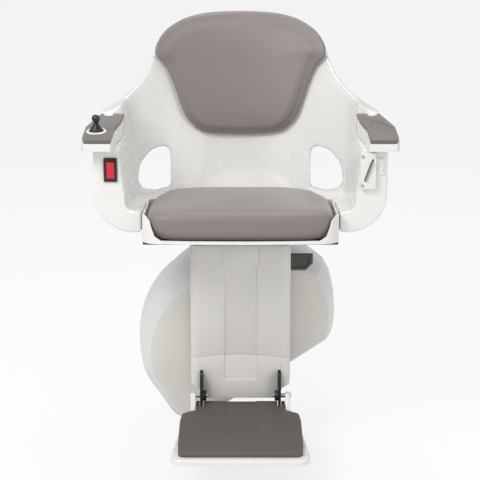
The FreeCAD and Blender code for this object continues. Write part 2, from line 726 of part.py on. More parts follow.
def make_leg():
    plate_low = "-frame_web - frame_plate"
    web = box(("-frame_half_width", "frame_half_width"), (plate_low, "-frame_web"), (-132, "frame_top"))
    sides = [
        box((low, high), ("-leg_front + 14", "-frame_web"), (-132, "frame_top"))
        for low, high in (
            ("-frame_half_width", "-frame_half_width + frame_plate"),
            ("frame_half_width - frame_plate", "frame_half_width"),
        )
    ]
    top = box(
        ("-frame_half_width", "frame_half_width"),
        ("-leg_front + 8", "-frame_web"),
        ("frame_top - frame_plate", "frame_top"),
    )
    tie = box(("-frame_half_width", "frame_half_width"), ("-leg_front + 14", "-leg_front + 20"), (-132, -92))
    hub_hole = rod("spindle_radius + bush_wall + 4", "Y", ("-frame_web - 20", "-frame_web + 5"), (0, 0))
    slot = box((-24, 24), ("-frame_web - 20", "-frame_web + 5"), (70, 150))
    finish("column_frame", cut(joined(web, top, tie, *sides), hub_hole, slot))

    upper = cut(leg_block(-80, "leg_top"), leg_block(-90, "leg_top + 10", 1), seam_cutter(0.25), front_recess())
    lines = [
        box(
            (f"{side} * (recess_half_width + 5) - 0.6", f"{side} * (recess_half_width + 5) + 0.6"),
            ("-leg_front - 5", "-leg_front + 0.8"),
            ("recess_top", "leg_top + 5"),
        )
        for side in (-1, 1)
    ]
    finish("leg_upper_cover", cut(upper, *lines))

    block = common(leg_block("-leg_bottom", 0), seam_cutter(-0.25))
    hollow = leg_block("-leg_bottom + leg_wall", 10, 1)
    corners = [
        formed(
            prism(
                [
                    (side * value("leg_half_width - 26"), -300, -value("leg_bottom") - 5),
                    (side * value("leg_half_width + 5"), -300, -value("leg_bottom") - 5),
                    (side * value("leg_half_width + 5"), -300, -value("leg_side_bottom") + 2),
                    (side * value("leg_half_width - 18"), -300, -value("leg_side_bottom") - 8),
                ],
                (0, 120, 0),
            )
        )
        for side in (-1, 1)
    ]
    bracket_slots = [
        box(
            (f"{side} * (frame_half_width + bracket_thick / 2) - bracket_thick / 2 - 0.5",
             f"{side} * (frame_half_width + bracket_thick / 2) + bracket_thick / 2 + 0.5"),
            ("-leg_front - 5", "-leg_back + 5"),
            ("-leg_bottom - 5", -86),
        )
        for side in (-1, 1)
    ]
    finish("leg_lower_cover", cut(block, hollow, front_recess(), *corners, *bracket_slots))

    rear = plate(
        "XZ_Plane",
        "-leg_back - 3",
        "-leg_back",
        [
            ("-leg_half_width", "-leg_side_bottom + 4"),
            ("-leg_half_width + 26", "-leg_bottom + 4"),
            ("leg_half_width - 26", "-leg_bottom + 4"),
            ("leg_half_width", "-leg_side_bottom + 4"),
            ("leg_half_width", "leg_top"),
            ("-leg_half_width", "leg_top"),
        ],
        [(0, 0, "spindle_radius + bush_wall + hub_wall + 26.5")],
    )
    finish("leg_rear_cover", rear)

    screws = [
        many_sided(6, 5, "Y", ("-frame_web - frame_plate - 4", "-frame_web - frame_plate"), (across, up))
        for across, up in ((-44, 44), (44, 44), (44, -44), (-44, -44))
    ]
    finish("hub_screws", joined(*screws))

    foot = many_sided(8, "swivel_post + 14", "Z", ("frame_top", "frame_top + 6"), (0, "-swivel_place"))
    post = rod("swivel_post", "Z", ("frame_top", "frame_top + 24"), (0, "-swivel_place"))
    finish("swivel_base", joined(foot, post))


# Footrest


def bracket_span(side):
    if side < 0:
        return ("-frame_half_width - bracket_thick", "-frame_half_width")
    return ("frame_half_width", "frame_half_width + bracket_thick")


def make_footrest():
    pivot = ("-footrest_pivot", "-footrest_pivot_drop")
    brackets = []
    for side in (-1, 1):
        low, high = bracket_span(side)
        shape = plate(
            "YZ_Plane",
            low,
            high,
            [
                ("-footrest_pivot - 14", -164),
                ("-footrest_pivot + 9", -164),
                ("-footrest_pivot + 14", "-footrest_pivot_drop"),
                ("-leg_front + 30", -128),
                ("-leg_front + 30", -94),
                ("-footrest_pivot + 14", -88),
                ("-footrest_pivot - 10", -88),
            ],
        )
        boss = many_sided(
            16,
            12,
            "X",
            ("-frame_half_width", "-frame_half_width + 8") if side < 0 else ("frame_half_width - 8", "frame_half_width"),
            pivot,
        )
        hole = rod("footrest_pin + fit", "X", ("-200", "200"), pivot)
        brackets.append(cut(joined(shape, boss), hole))
    finish("footrest_brackets", joined(*brackets))

    pins = []
    for low, high in (
        ("-ear_inside - ear_thick - 2", "-frame_half_width + 12"),
        ("frame_half_width - 12", "ear_inside + ear_thick + 2"),
    ):
        pins.append(rod("footrest_pin", "X", (low, high), pivot))
    finish("footrest_pins", joined(*pins))

    rear = "-footrest_pivot + 14"
    rim = [
        ("-footrest_half_width + 4", "-footrest_front"),
        ("footrest_half_width - 4", "-footrest_front"),
        ("footrest_half_width", "-footrest_front + 40"),
        ("footrest_half_width - 12", -438),
        ("mat_half_width - 8", -372),
        ("ear_inside + ear_thick", -338),
        ("ear_inside + ear_thick", rear),
        ("-ear_inside - ear_thick", rear),
        ("-ear_inside - ear_thick", -338),
        ("-mat_half_width + 8", -372),
        ("-footrest_half_width + 12", -438),
        ("-footrest_half_width", "-footrest_front + 40"),
    ]
    base = "-footrest_base_drop"
    tray = plate("XY_Plane", base, f"{base} + tray_height", rim)
    front_edges = value("-footrest_front + 50")
    soften(tray, 22, lambda edge: runs_along(edge, Vector(0, 0, 1)) and edge.CenterOfMass.y < front_edges)
    top = value(f"{base} + tray_height")
    soften(
        tray,
        3,
        lambda edge: abs(edge.CenterOfMass.z - top) < 0.01 and edge.CenterOfMass.y < value("-420"),
        "Chamfer",
    )
    inside = [
        ("-footrest_half_width + 14", "-footrest_front + 12"),
        ("footrest_half_width - 14", "-footrest_front + 12"),
        ("footrest_half_width - 20", -438),
        ("ear_inside - 4", -352),
        ("-ear_inside + 4", -352),
        ("-footrest_half_width + 20", -438),
    ]
    pocket(tray, "XY_Plane", f"{base} - 1", f"{base} + 7", inside)
    ears = []
    for side in (-1, 1):
        low, high = (
            ("-ear_inside - ear_thick", "-ear_inside") if side < 0 else ("ear_inside", "ear_inside + ear_thick")
        )
        ear = plate(
            "YZ_Plane",
            low,
            high,
            [
                (rear, base),
                (rear, f"{base} + tray_height"),
                ("-footrest_pivot + 9", "-footrest_pivot_drop"),
                ("-footrest_pivot + 6", "-footrest_pivot_drop + 7"),
                ("-footrest_pivot - 6", "-footrest_pivot_drop + 7"),
                ("-footrest_pivot - 24", f"{base} + tray_height + mat_thick"),
                (-338, f"{base} + tray_height"),
                (-338, base),
            ],
        )
        ears.append(ear)
    slots = [
        box(
            (f"{low} - 1.5", f"{high} + 1.5"),
            ("-footrest_pivot - 20", f"{rear} + 5"),
            (f"{base} - 5", f"{base} + tray_height + mat_thick + 5"),
        )
        for low, high in (bracket_span(-1), bracket_span(1))
    ]
    pin_holes = rod("footrest_pin", "X", ("-200", "200"), pivot)
    finish("footrest_tray", cut(joined(tray, *ears), *slots, pin_holes))

    mat_low = f"{base} + tray_height"
    mat_rim = [
        ("-mat_half_width + 3", "-footrest_front + 16"),
        ("mat_half_width - 3", "-footrest_front + 16"),
        ("mat_half_width", -530),
        ("mat_half_width + 1", -400),
        ("mat_half_width - 2", -362),
        ("ear_inside - 1", -338),
        ("ear_inside - 1", f"{rear} - 1"),
        ("-ear_inside + 1", f"{rear} - 1"),
        ("-ear_inside + 1", -338),
        ("-mat_half_width + 2", -362),
        ("-mat_half_width - 1", -400),
        ("-mat_half_width", -530),
    ]
    mat = plate("XY_Plane", mat_low, f"{mat_low} + mat_thick", mat_rim)
    soften(
        mat,
        14,
        lambda edge: runs_along(edge, Vector(0, 0, 1)) and edge.CenterOfMass.y < value("-footrest_front + 30"),
    )
    mat_top = value(f"{mat_low} + mat_thick")
    soften(
        mat,
        3,
        lambda edge: abs(edge.CenterOfMass.z - mat_top) < 0.01 and edge.CenterOfMass.y < value("-380"),
        "Chamfer",
    )
    groove = box(
        ("-recess_half_width", "recess_half_width"),
        ("-500", f"{rear} + 5"),
        (f"{mat_low} + mat_thick - 1.2", f"{mat_low} + mat_thick + 5"),
    )
    finish("footrest_mat", cut(mat, groove, *slots))

    plate_low = f"{base} - safety_travel - 0.5"
    safety = plate(
        "XY_Plane",
        plate_low,
        f"{plate_low} + safety_thick",
        [
            ("-footrest_half_width + 17", "-footrest_front + 15"),
            ("footrest_half_width - 17", "-footrest_front + 15"),
            ("footrest_half_width - 22", -440),
            ("ear_inside - 12", -356),
            ("-ear_inside + 12", -356),
            ("-footrest_half_width + 22", -440),
        ],
        [(across, place, 3.3) for across in (-90, 90) for place in (-560, -410)],
    )
    finish("footrest_safety_plate", safety)
    screws = []
    for across in (-90, 90):
        for place in (-560, -410):
            shank = rod(3, "Z", (f"{plate_low} - 1.8", f"{base} + 7"), (across, place))
            head = many_sided(6, 6, "Z", (f"{plate_low} - 1.8", f"{plate_low} - face_gap"), (across, place))
            screws.append(joined(shank, head))
    finish("safety_plate_screws", joined(*screws))


# Seat frame and swivel


def make_swivel():
    top = "frame_top + 24"
    span = ("frame_top + 6 + face_gap", f"{top} - 6")
    sleeve = many_sided(16, "swivel_post + 12", "Z", span, (0, "-swivel_place"))
    bore = rod("swivel_post + fit", "Z", ("frame_top", f"{top} + 5"), (0, "-swivel_place"))
    finish("swivel_head", cut(sleeve, bore))
    foot = "shell_bottom - 16"
    reach = "seat_half_width + 8"
    hat = plate(
        "XZ_Plane",
        "-swivel_place - 50",
        "-swivel_place + 50",
        [
            (f"-({reach}) - 22", foot),
            (f"-({reach})", foot),
            (f"-({reach})", f"{top} - 6"),
            (reach, f"{top} - 6"),
            (reach, foot),
            (f"{reach} + 22", foot),
            (f"{reach} + 22", f"{foot} + 4"),
            (f"{reach} - 5.5", f"{foot} + 4"),
            (f"{reach} - 5.5", top),
            (f"-({reach}) + 5.5", top),
            (f"-({reach}) + 5.5", f"{foot} + 4"),
            (f"-({reach}) - 22", f"{foot} + 4"),
        ],
    )
    hole = rod("swivel_post + fit", "Z", ("frame_top", f"{top} + 5"), (0, "-swivel_place"))
    finish("seat_frame", cut(hat, hole))


# Shell


def plan_curve(half, depth):
    """Straight run, corner radius and back radius of the shell's plan, each tangent to the next."""
    run = value("shell_run") * depth
    corner = value("shell_corner") * half
    across = half - corner
    back = (across**2 + (run - depth) ** 2 - corner**2) / (2 * (depth - run - corner))
    return run, corner, back


def tub_section(height, half, depth, back, front):
    """Plan of the shell at one height: straight sides, two corner arcs and one arc round the back."""
    run, corner, radius = plan_curve(half, depth)
    start = back - depth
    across = half - corner
    away = math.hypot(across, run - depth + radius)
    turn = math.atan2(run - depth + radius, across)
    joint = (across + corner * math.cos(turn), start + run + corner * math.sin(turn))
    middle = (across + corner * math.cos(0.5 * turn), start + run + corner * math.sin(0.5 * turn))
    if abs(away - (radius - corner)) > 0.01:
        raise ValueError("the shell's plan has no smooth joint")
    return Part.Wire(
        [
            line((-half, front, height), (-half, start + run, height)),
            arc((-half, start + run, height), (-middle[0], middle[1], height), (-joint[0], joint[1], height)),
            arc((-joint[0], joint[1], height), (0, back, height), (*joint, height)),
            arc((*joint, height), (*middle, height), (half, start + run, height)),
            line((half, start + run, height), (half, front, height)),
            line((half, front, height), (-half, front, height)),
        ]
    )


INNER_DEPTH = value("shell_depth - 40")


def back_place(height, offset):
    return offset + (height - value("shell_reference")) * value("recline")


TUB_LOW = 170
TUB_HIGH = 760


def leaning_tub(half, depth, offset):
    """The shell's plan pushed up along the lean of the back, from below the seat to above the back."""
    lean = math.atan(value("recline"))
    plan = tub_section(0, half, depth * math.cos(lean), 0, -700)
    tub = Part.Face(plan).extrude(Vector(0, 0, 1050))
    tub.translate(Vector(0, 0, -300))
    tub.rotate(Vector(), Vector(1, 0, 0), -math.degrees(lean))
    tub.translate(Vector(0, back_place(TUB_LOW, offset), TUB_LOW))
    return tub


def outer_tub(inset):
    half = value("shell_half_width") - inset
    return leaning_tub(half, value("shell_depth") - inset, value("shell_back_place") - inset)


def inner_half(height):
    return value("inner_half_width") + (height - value("inner_floor")) * value("inner_flare")


def inner_tub():
    """The inside of the shell, between two sides that lean outwards."""
    tub = leaning_tub(inner_half(value("ear_height")), INNER_DEPTH, value("shell_back_place - back_gap"))
    sides = prism(
        [
            (-inner_half(TUB_LOW), -500, TUB_LOW),
            (inner_half(TUB_LOW), -500, TUB_LOW),
            (inner_half(TUB_HIGH), -500, TUB_HIGH),
            (-inner_half(TUB_HIGH), -500, TUB_HIGH),
        ],
        (0, 700, 0),
    )
    return tub.common(sides)


def front_silhouette():
    """The shell seen from the front, pushed back along Y: wings, ears and top."""
    low = TUB_LOW + 5
    top = value("back_top")
    ear = value("ear_half_width")
    ear_height = value("ear_height")
    wing = value("wing_height")
    edge = value("shell_half_width") + 20
    start = -470
    right = [
        line((edge, start, low), (edge, start, wing)),
        line((edge, start, wing), (0.965 * value("shell_half_width"), start, wing)),
        arc(
            (0.965 * value("shell_half_width"), start, wing),
            (0.5 * (ear + value("shell_half_width")) - 10, start, wing + 0.3 * (ear_height - wing)),
            (ear, start, ear_height),
        ),
        arc((ear, start, ear_height), (0.93 * ear, start, ear_height + 24), (0.66 * ear, start, top - 20)),
    ]
    left = [mirrored(edge_shape) for edge_shape in right]
    crown = arc((0.66 * ear, start, top - 20), (0, start, top), (-0.66 * ear, start, top - 20))
    base = line((-edge, start, low), (edge, start, low))
    wire = Part.Wire(Part.__sortEdges__(right + left + [crown, base]))
    return Part.Face(wire).extrude(Vector(0, 700, 0))


def bottom_trough(half, floor, radius, slope):
    """A trough with rounded lower corners, sloping down towards the back."""
    start = -470
    top = TUB_HIGH + 60
    wire = Part.Wire(
        [
            line((-half, start, top), (-half, start, floor + radius)),
            arc(
                (-half, start, floor + radius),
                (-half + radius * (1 - math.sqrt(0.5)), start, floor + radius * (1 - math.sqrt(0.5))),
                (-half + radius, start, floor),
            ),
            line((-half + radius, start, floor), (half - radius, start, floor)),
            arc(
                (half - radius, start, floor),
                (half - radius * (1 - math.sqrt(0.5)), start, floor + radius * (1 - math.sqrt(0.5))),
                (half, start, floor + radius),
            ),
            line((half, start, floor + radius), (half, start, top)),
            line((half, start, top), (-half, start, top)),
        ]
    )
    trough = Part.Face(wire).extrude(Vector(0, 760, 0))
    trough.rotate(Vector(0, start, floor), Vector(1, 0, 0), -math.degrees(math.atan(slope)))
    return trough


def side_profile(front, low_place, low_height, knee, high_height, offset):
    """The shell seen from the side, pushed across X: its rounded lower rear corner."""
    high_place = back_place(high_height, offset) + 2.5
    top = TUB_HIGH + 50
    left = -400
    far = back_place(top, offset) + 60
    wire = Part.Wire(
        [
            line((left, front, TUB_LOW), (left, low_place, TUB_LOW)),
            line((left, low_place, TUB_LOW), (left, low_place, low_height)),
            arc((left, low_place, low_height), (left, *knee), (left, high_place, high_height)),
            line((left, high_place, high_height), (left, far, high_height + 20)),
            line((left, far, high_height + 20), (left, far, top)),
            line((left, far, top), (left, front, top)),
            line((left, front, top), (left, front, TUB_LOW)),
        ]
    )
    return Part.Face(wire).extrude(Vector(800, 0, 0))


FLOOR_SLOPE = 0.10
BOTTOM_SLOPE = 0.06


def shell_outside():
    start_drop = BOTTOM_SLOPE * (value("shell_front") - 470)
    trough = bottom_trough(
        value("shell_half_width") + 0.6, value("shell_bottom") - start_drop, value("bottom_round"), BOTTOM_SLOPE
    )
    side = side_profile(-value("shell_front"), -96, 215, (-12, 262), 338, value("shell_back_place"))
    return outer_tub(0).common(front_silhouette()).common(trough).common(side)


def shell_inside():
    start_drop = FLOOR_SLOPE * (value("shell_front") - 470)
    trough = bottom_trough(value("inner_half_width") + 40, value("inner_floor") - start_drop, 66, FLOOR_SLOPE)
    side = side_profile(-480, -110, 200, (-42, 281), 330, value("shell_back_place - back_gap"))
    return inner_tub().common(trough).common(side)


def seat_plan(height, grow):
    """Plan of the seat tray and of its bay, larger by grow."""
    half = value("seat_half_width") + grow
    front = -value("seat_front") - grow
    rear = -value("seat_rear") + grow
    narrow = 0.78 * value("seat_half_width") + grow
    right = [
        arc((0, front - 4, height), (0.4 * half, front - 2, height), (half - 48, front + 4, height)),
        arc((half - 48, front + 4, height), (half - 12, front + 16, height), (half, front + 56, height)),
        line((half, front + 56, height), (half, -250, height)),
        arc((half, -250, height), (half - 8, -170, height), (narrow, rear - 48, height)),
        arc((narrow, rear - 48, height), (narrow - 16, rear - 13, height), (narrow - 50, rear, height)),
        line((narrow - 50, rear, height), (0, rear, height)),
    ]
    left = [mirrored(edge) for edge in right]
    return Part.Wire(Part.__sortEdges__(right + left))


def bay(grow):
    """Room for the seat tray in the shell's floor."""
    return Part.Face(seat_plan(190, grow)).extrude(Vector(0, 0, 180))


def window(grow):
    """Opening through one rear corner of the shell, cut from the front."""
    points = [
        (163 - grow, 288 - grow),
        (165 - grow, 374),
        (176, 384 + grow),
        (206 + grow, 379 + grow),
        (232 + grow, 352 + grow),
        (238 + grow, 312),
        (228 + grow, 291 - grow),
        (200, 284 - grow),
    ]
    return prism([(across, -300, up) for across, up in points], (0, 380, 0), 7)


def make_shell():
    """The front moulding with its closed double wall, and the skin that wraps round its back."""
    wall = value("shell_wall")
    seam = value("face_gap")
    windows = both_sides(window(0))
    room = windows.fuse(bay(4))
    outside = shell_outside()
    moulding = outside.common(outer_tub(wall + seam)).cut(shell_inside()).cut(room)
    post = value("post_top")
    wing = -value("wing_front")
    notch = Part.makeBox(800, 300, 300, Vector(-400, wing - 300, post))
    moulding = moulding.cut(notch)
    skin = outside.cut(outer_tub(wall)).cut(room).cut(notch)
    pivot_place = -value("arm_pivot_place")
    pivot_height = value("arm_pivot_height")
    knuckle = Part.makeBox(17, 0.5 + wing - pivot_place, 20, Vector(283, pivot_place, pivot_height - 10))
    barrel = Part.makeCylinder(10, 17, Vector(283, pivot_place, pivot_height), Vector(1, 0, 0))
    eye = Part.makeCylinder(value("arm_pin"), 40, Vector(270, pivot_place, pivot_height), Vector(1, 0, 0))
    knuckles = both_sides(knuckle.fuse(barrel).cut(eye))
    pin = value("hinge_pin")
    place = -value("seat_hinge_place")
    height = value("seat_hinge_height")
    pin_hole = Part.makeCylinder(pin + value("fit"), 80, Vector(130, place, height), Vector(1, 0, 0))
    boss = Part.makeCylinder(pin + 5, 34, Vector(168, place, height), Vector(1, 0, 0))
    boss = boss.common(outer_tub(wall + seam)).cut(bay(4))
    switch_well = Part.makeBox(
        19,
        12,
        40,
        Vector(-value("switch_across") - 9.5, -value("shell_front") - 1, value("switch_height") - 20),
    )
    moulding = moulding.fuse(both_sides(boss)).cut(both_sides(pin_hole)).cut(switch_well)
    finish("seat_shell", formed(moulding.fuse(knuckles).removeSplitter()))
    finish("shell_back", formed(skin))


def inner_wall_place(across, height):
    """Where the inside of the shell's back lies, front to back, at one place on it."""
    half = inner_half(value("ear_height"))
    lean = math.cos(math.atan(value("recline")))
    depth = INNER_DEPTH * lean
    run, corner, radius = plan_curve(half, depth)
    back = back_place(height, value("shell_back_place - back_gap"))
    joint = (half - corner) * radius / (radius - corner)
    if abs(across) <= joint:
        return back + (math.sqrt(radius**2 - across**2) - radius) / lean
    return back + (run - depth + math.sqrt(corner**2 - (abs(across) - half + corner) ** 2)) / lean


def make_back_cushion():
    """A crowned pad that follows the curved back; each row is one level of it."""
    foot = value("back_cushion_foot")
    tall = value("back_cushion_top") - foot
    ear = value("back_cushion_ear")
    thick = value("back_cushion_thick")
    levels = (
        (0.0, 0.30, 0.28),
        (0.03, 0.44, 0.62),
        (0.15, 0.64, 0.95),
        (0.42, 0.78, 1.0),
        (0.585, 0.90, 1.0),
        (0.70, 1.0, 0.95),
        (0.79, 0.965, 0.92),
        (0.90, 0.74, 0.80),
        (1.0, 0.28, 0.28),
    )
    wires = []
    for share, width, fullness in levels:
        height = foot + share * tall
        half = width * ear
        depth = fullness * thick
        middle = inner_wall_place(0, height)
        side = inner_wall_place(half, height)
        rear = (half - 0.3 * depth, middle + 10, height)
        corner = (half, side - 0.4 * depth, height)
        front = (half - 0.5 * depth, side - depth, height)
        edges = [
            line((-rear[0], *rear[1:]), rear),
            line(rear, corner),
            line(corner, front),
            arc(front, (0, middle - depth, height), (-front[0], *front[1:])),
            line((-front[0], *front[1:]), (-corner[0], *corner[1:])),
            line((-corner[0], *corner[1:]), (-rear[0], *rear[1:])),
        ]
        wires.append(Part.Wire(edges))
    seat = leaning_tub(inner_half(value("ear_height")), INNER_DEPTH, value("shell_back_place - back_gap") - 0.4)
    return finish("back_cushion", formed(Part.makeLoft(wires, True, True).common(seat)))


def make_seat_pan():
    slope = math.tan(math.radians(value("seat_slope")))
    base = value("seat_base")
    front = value("seat_front")
    wall = value("tray_wall")

    def sloped(shape, lift=0.0):
        turned = shape.copy()
        turned.translate(Vector(0, front, -base))
        turned.rotate(Vector(), Vector(1, 0, 0), -value("seat_slope"))
        turned.translate(Vector(0, -front, base + lift))
        return turned

    side = value("tray_side")
    outside = Part.Face(seat_plan(base, 0)).extrude(Vector(0, 0, side + 12))
    inside = Part.Face(seat_plan(base + 4, -wall)).extrude(Vector(0, 0, side + 12))
    mouth_low = base + 7
    rise = ((166, 0), (180, 9), (187, 28), (190, 40), (204, 56), (230, 90))
    mouth = prism(
        [(across, -500, mouth_low + up) for across, up in rise]
        + [(-across, -500, mouth_low + up) for across, up in reversed(rise)],
        (0, 110, 0),
    )
    pan = sloped(outside.cut(inside).cut(mouth))
    pin = value("hinge_pin + fit")
    place = -value("seat_hinge_place")
    height = value("seat_hinge_height")
    rear_rim = prism(
        [
            (-250, -200, height + 18),
            (-250, -120, height + 1),
            (-250, -40, height + 1),
            (-250, -40, height + 60),
            (-250, -200, height + 60),
        ],
        (500, 0, 0),
    )
    boss = Part.makeCylinder(pin + 5, 31, Vector(100, place, height), Vector(1, 0, 0))
    eye = Part.makeCylinder(pin, 120, Vector(90, place, height), Vector(1, 0, 0))
    pan = pan.cut(rear_rim).fuse(both_sides(boss)).cut(both_sides(eye))
    finish("seat_tray", formed(pan))

    pins = []
    for low, high in ((-196, -102), (102, 196)):
        pins.append(rod("hinge_pin", "X", (low, high), ("-seat_hinge_place", "seat_hinge_height")))
    finish("seat_hinge_pins", joined(*pins))

    thick = value("cushion_thick")
    levels = ((0.0, 0.90), (0.3, 0.985), (0.62, 1.0), (0.86, 0.965), (1.0, 0.80))
    sections = [cushion_section(base + 4.3 + share * thick, scale) for share, scale in levels]
    cushion = sloped(Part.makeLoft(sections, True, True))
    bosses = both_sides(Part.makeCylinder(pin + 6, 100, Vector(98, place, height), Vector(1, 0, 0)))
    finish("seat_cushion", formed(cushion.cut(bosses)))


def cushion_section(height, scale):
    """Plan of the seat cushion at one level, drawn in about its middle by scale."""
    half = value("cushion_half_width")
    front = -value("seat_front") - 3
    rear = -value("seat_rear + tray_wall") - 1.5
    narrow = 0.76 * half
    middle = 0.5 * (front + rear)

    def spot(across, place):
        return (scale * across, middle + scale * (place - middle), height)

    right = [
        arc(spot(0, front - 4), spot(0.4 * half, front - 2), spot(half - 48, front + 4)),
        arc(spot(half - 48, front + 4), spot(half - 13, front + 18), spot(half, front + 62)),
        line(spot(half, front + 62), spot(half, -262)),
        arc(spot(half, -262), spot(half - 10, -176), spot(narrow, rear - 52)),
        arc(spot(narrow, rear - 52), spot(narrow - 16, rear - 14), spot(narrow - 52, rear)),
        line(spot(narrow - 52, rear), spot(0, rear)),
    ]
    left = [mirrored(edge) for edge in right]
    return Part.Wire(Part.__sortEdges__(right + left))


# Arms


def arm_plan(grow):
    """Plan of the right arm, as corner points from the inner rear round to the outer rear."""
    outside = value("arm_outside") + grow
    inside = value("arm_inside") - grow
    front = -value("arm_front") - grow
    rear = -value("arm_pivot_place") + 12.5 + grow
    return [
        (inside, rear),
        (inside + 4, -262),
        (inside + 13, front + 96),
        (inside + 13, front),
        (outside - 6, front),
        (outside, front + 26),
        (outside, front + 108),
        (outside - 24, rear),
    ]


def arm_top(place, lift=0.0):
    """Height of the pad's top over one place; it falls gently to the front."""
    rear = value("wing_height")
    front = value("arm_top_front")
    share = (-value("wing_front") - place) / (value("arm_front") - value("wing_front"))
    return rear + (front - rear) * share + lift


def arm_solid(grow, low_lift, high_lift):
    """The arm's plan between two levels that follow the pad's slope."""
    points = [(x, y, 430) for x, y in arm_plan(grow)]
    column = prism(points, (0, 0, 80), 5)
    rear = -170
    front = -450
    side = prism(
        [
            (200, rear, arm_top(rear, low_lift)),
            (200, front, arm_top(front, low_lift)),
            (200, front, arm_top(front, high_lift)),
            (200, rear, arm_top(rear, high_lift)),
        ],
        (180, 0, 0),
    )
    return column.common(side)


def make_arms():
    pivot_place = -value("arm_pivot_place")
    pivot_height = value("arm_pivot_height")
    thick = value("pad_thick")
    low = value("post_top") + value("face_gap")
    body = arm_solid(0, -70, -thick)
    profile = [
        (200, -value("arm_front") - 10, low + 4),
        (200, -value("arm_front") + 10, low),
        (200, pivot_place - 16, low),
        (200, pivot_place + 12.5, low + 18),
        (200, pivot_place + 12.5, 500),
        (200, -value("arm_front") - 10, 500),
    ]
    body = body.common(prism(profile, (180, 0, 0)))
    rear_round = Part.makeCylinder(12.4, 180, Vector(200, pivot_place, pivot_height), Vector(1, 0, 0))
    rear_block = Part.makeBox(180, 30, 90, Vector(200, pivot_place, pivot_height))
    body = body.cut(rear_block).fuse(body.common(rear_round))
    notch = Part.makeBox(20, 30, 80, Vector(281.5, pivot_place - 12, low - 5))
    eye = Part.makeCylinder(value("arm_pin") + value("fit"), 200, Vector(200, pivot_place, pivot_height), Vector(1, 0, 0))
    body = body.cut(notch).cut(eye).removeSplitter()
    pad = arm_solid(-2, -thick, 0)
    pad = pad.cut(notch).cut(Part.makeBox(180, 30, 90, Vector(200, pivot_place + 6.5, low)))
    well = prism(
        [(x, y, 455) for x, y in ((278, -412), (320, -412), (325, -396), (325, -318), (304, -268), (284, -268), (276, -318))],
        (0, 0, 60),
        4,
    )
    sunk = well.common(arm_solid(-2, -1.2, 5))
    finish("arm_right", formed(body))
    finish("arm_pad_right", formed(pad.cut(sunk)))
    finish("arm_left", formed(mirrored(body)))
    finish("arm_pad_left", formed(mirrored(pad)))
    pins = [
        rod("arm_pin", "X", (low_end, high_end), ("-arm_pivot_place", "arm_pivot_height"))
        for low_end, high_end in ((-306, -258), (258, 306))
    ]
    finish("arm_hinge_pins", joined(*pins))

    centre_x = -value("joystick_across")
    centre_y = -value("joystick_place")
    top = arm_top(centre_y)
    egg = Part.Wire(
        [
            arc((-21, -6, 0), (0, -25, 0), (21, -6, 0)),
            arc((21, -6, 0), (19, 12, 0), (7, 29, 0)),
            arc((7, 29, 0), (0, 31.5, 0), (-7, 29, 0)),
            arc((-7, 29, 0), (-19, 12, 0), (-21, -6, 0)),
        ]
    )
    disc = Part.Face(egg).extrude(Vector(0, 0, 2.5))
    fall = math.degrees(math.atan((value("wing_height - arm_top_front")) / value("arm_front - wing_front")))
    boot = turned(16, ((2.5, 15.5), (5, 13.6), (9.5, 9.5), (14.5, 5.2)))
    stem_hole = turned(12, ((2.4, 5.5), (16, 4.3)))
    lever = turned(
        12, ((8, 3.2), (20, 3.6), (23, 6.2), (25.5, 8), (29, 8.8), (32.5, 7.9), (35.5, 5.6), (37.3, 2.6))
    )
    place = Placement(Vector(centre_x, centre_y, top + 0.0), Rotation(Vector(1, 0, 0), fall))
    for name, shape in (
        ("joystick_plate", disc),
        ("joystick_boot", boot.cut(stem_hole)),
        ("joystick_lever", lever),
    ):
        piece = formed(shape)
        piece.Placement = place
        finish(name, piece)


def make_switch():
    face = "-shell_front"
    across = "-switch_across"
    low = "switch_height - 25.5"
    high = "switch_height + 25.5"
    frame = box((f"{across} - 14", f"{across} + 14"), (f"{face} - 4", face), (low, high))
    hole = box((f"{across} - 9", f"{across} + 9"), (f"{face} - 10", f"{face} + 1"), (f"{low} + 6", f"{high} - 6"))
    finish("switch_bezel", cut(frame, hole))
    rocker = plate(
        "YZ_Plane",
        f"{across} - 8.5",
        f"{across} + 8.5",
        [
            (f"{face} - 0.4", f"{low} + 7.4"),
            (f"{face} - 4.5", f"{low} + 6.9"),
            (f"{face} - 3.2", "switch_height"),
            (f"{face} - 7", f"{high} - 8.4"),
            (f"{face} - 0.4", f"{high} - 7.4"),
        ],
    )
    finish("switch_rocker", rocker)


def make_belt():
    face = "-shell_front"
    low, high = "belt_height - 39", "belt_height + 39"
    left, right = "belt_across - 16.5", "belt_across + 16.5"
    housing = box((left, right), (f"{face} - 11", face), (low, high))
    slot = formed(
        prism(
            [
                (value("belt_across + 8"), value("-shell_front") - 20, value("belt_height + 26")),
                (value("belt_across + 12"), value("-shell_front") - 20, value("belt_height + 24")),
                (value("belt_across - 4"), value("-shell_front") - 20, value("belt_height - 24")),
                (value("belt_across - 9"), value("-shell_front") - 20, value("belt_height - 22")),
            ],
            (0, 17, 0),
        )
    )
    finish("belt_housing", cut(housing, slot))
    blade = formed(
        prism(
            [
                (value("belt_across + 9.2"), value("-shell_front") - 15, value("belt_height + 22")),
                (value("belt_across + 10.6"), value("-shell_front") - 15, value("belt_height + 21")),
                (value("belt_across - 4.2"), value("-shell_front") - 15, value("belt_height - 20")),
                (value("belt_across - 6.6"), value("-shell_front") - 15, value("belt_height - 19")),
            ],
            (0, 11, 0),
        )
    )
    finish("belt_tongue", blade)
    screws = [
        rod(3.4, "Y", (f"{face} - 12.4", f"{face} - 11"), ("belt_across - 12", f"belt_height + {up}"))
        for up in (31, -31)
    ]
    finish("belt_screws", joined(*screws))
    tab = box(("belt_across + 16.5", "belt_across + 34"), (f"{face} - 3", face), ("belt_height - 10", "belt_height + 26"))
    stud = rod(3.6, "Y", (f"{face} - 6", f"{face} - 3"), ("belt_across + 27", "belt_height + 4"))
    finish("belt_bracket", joined(tab, stud))


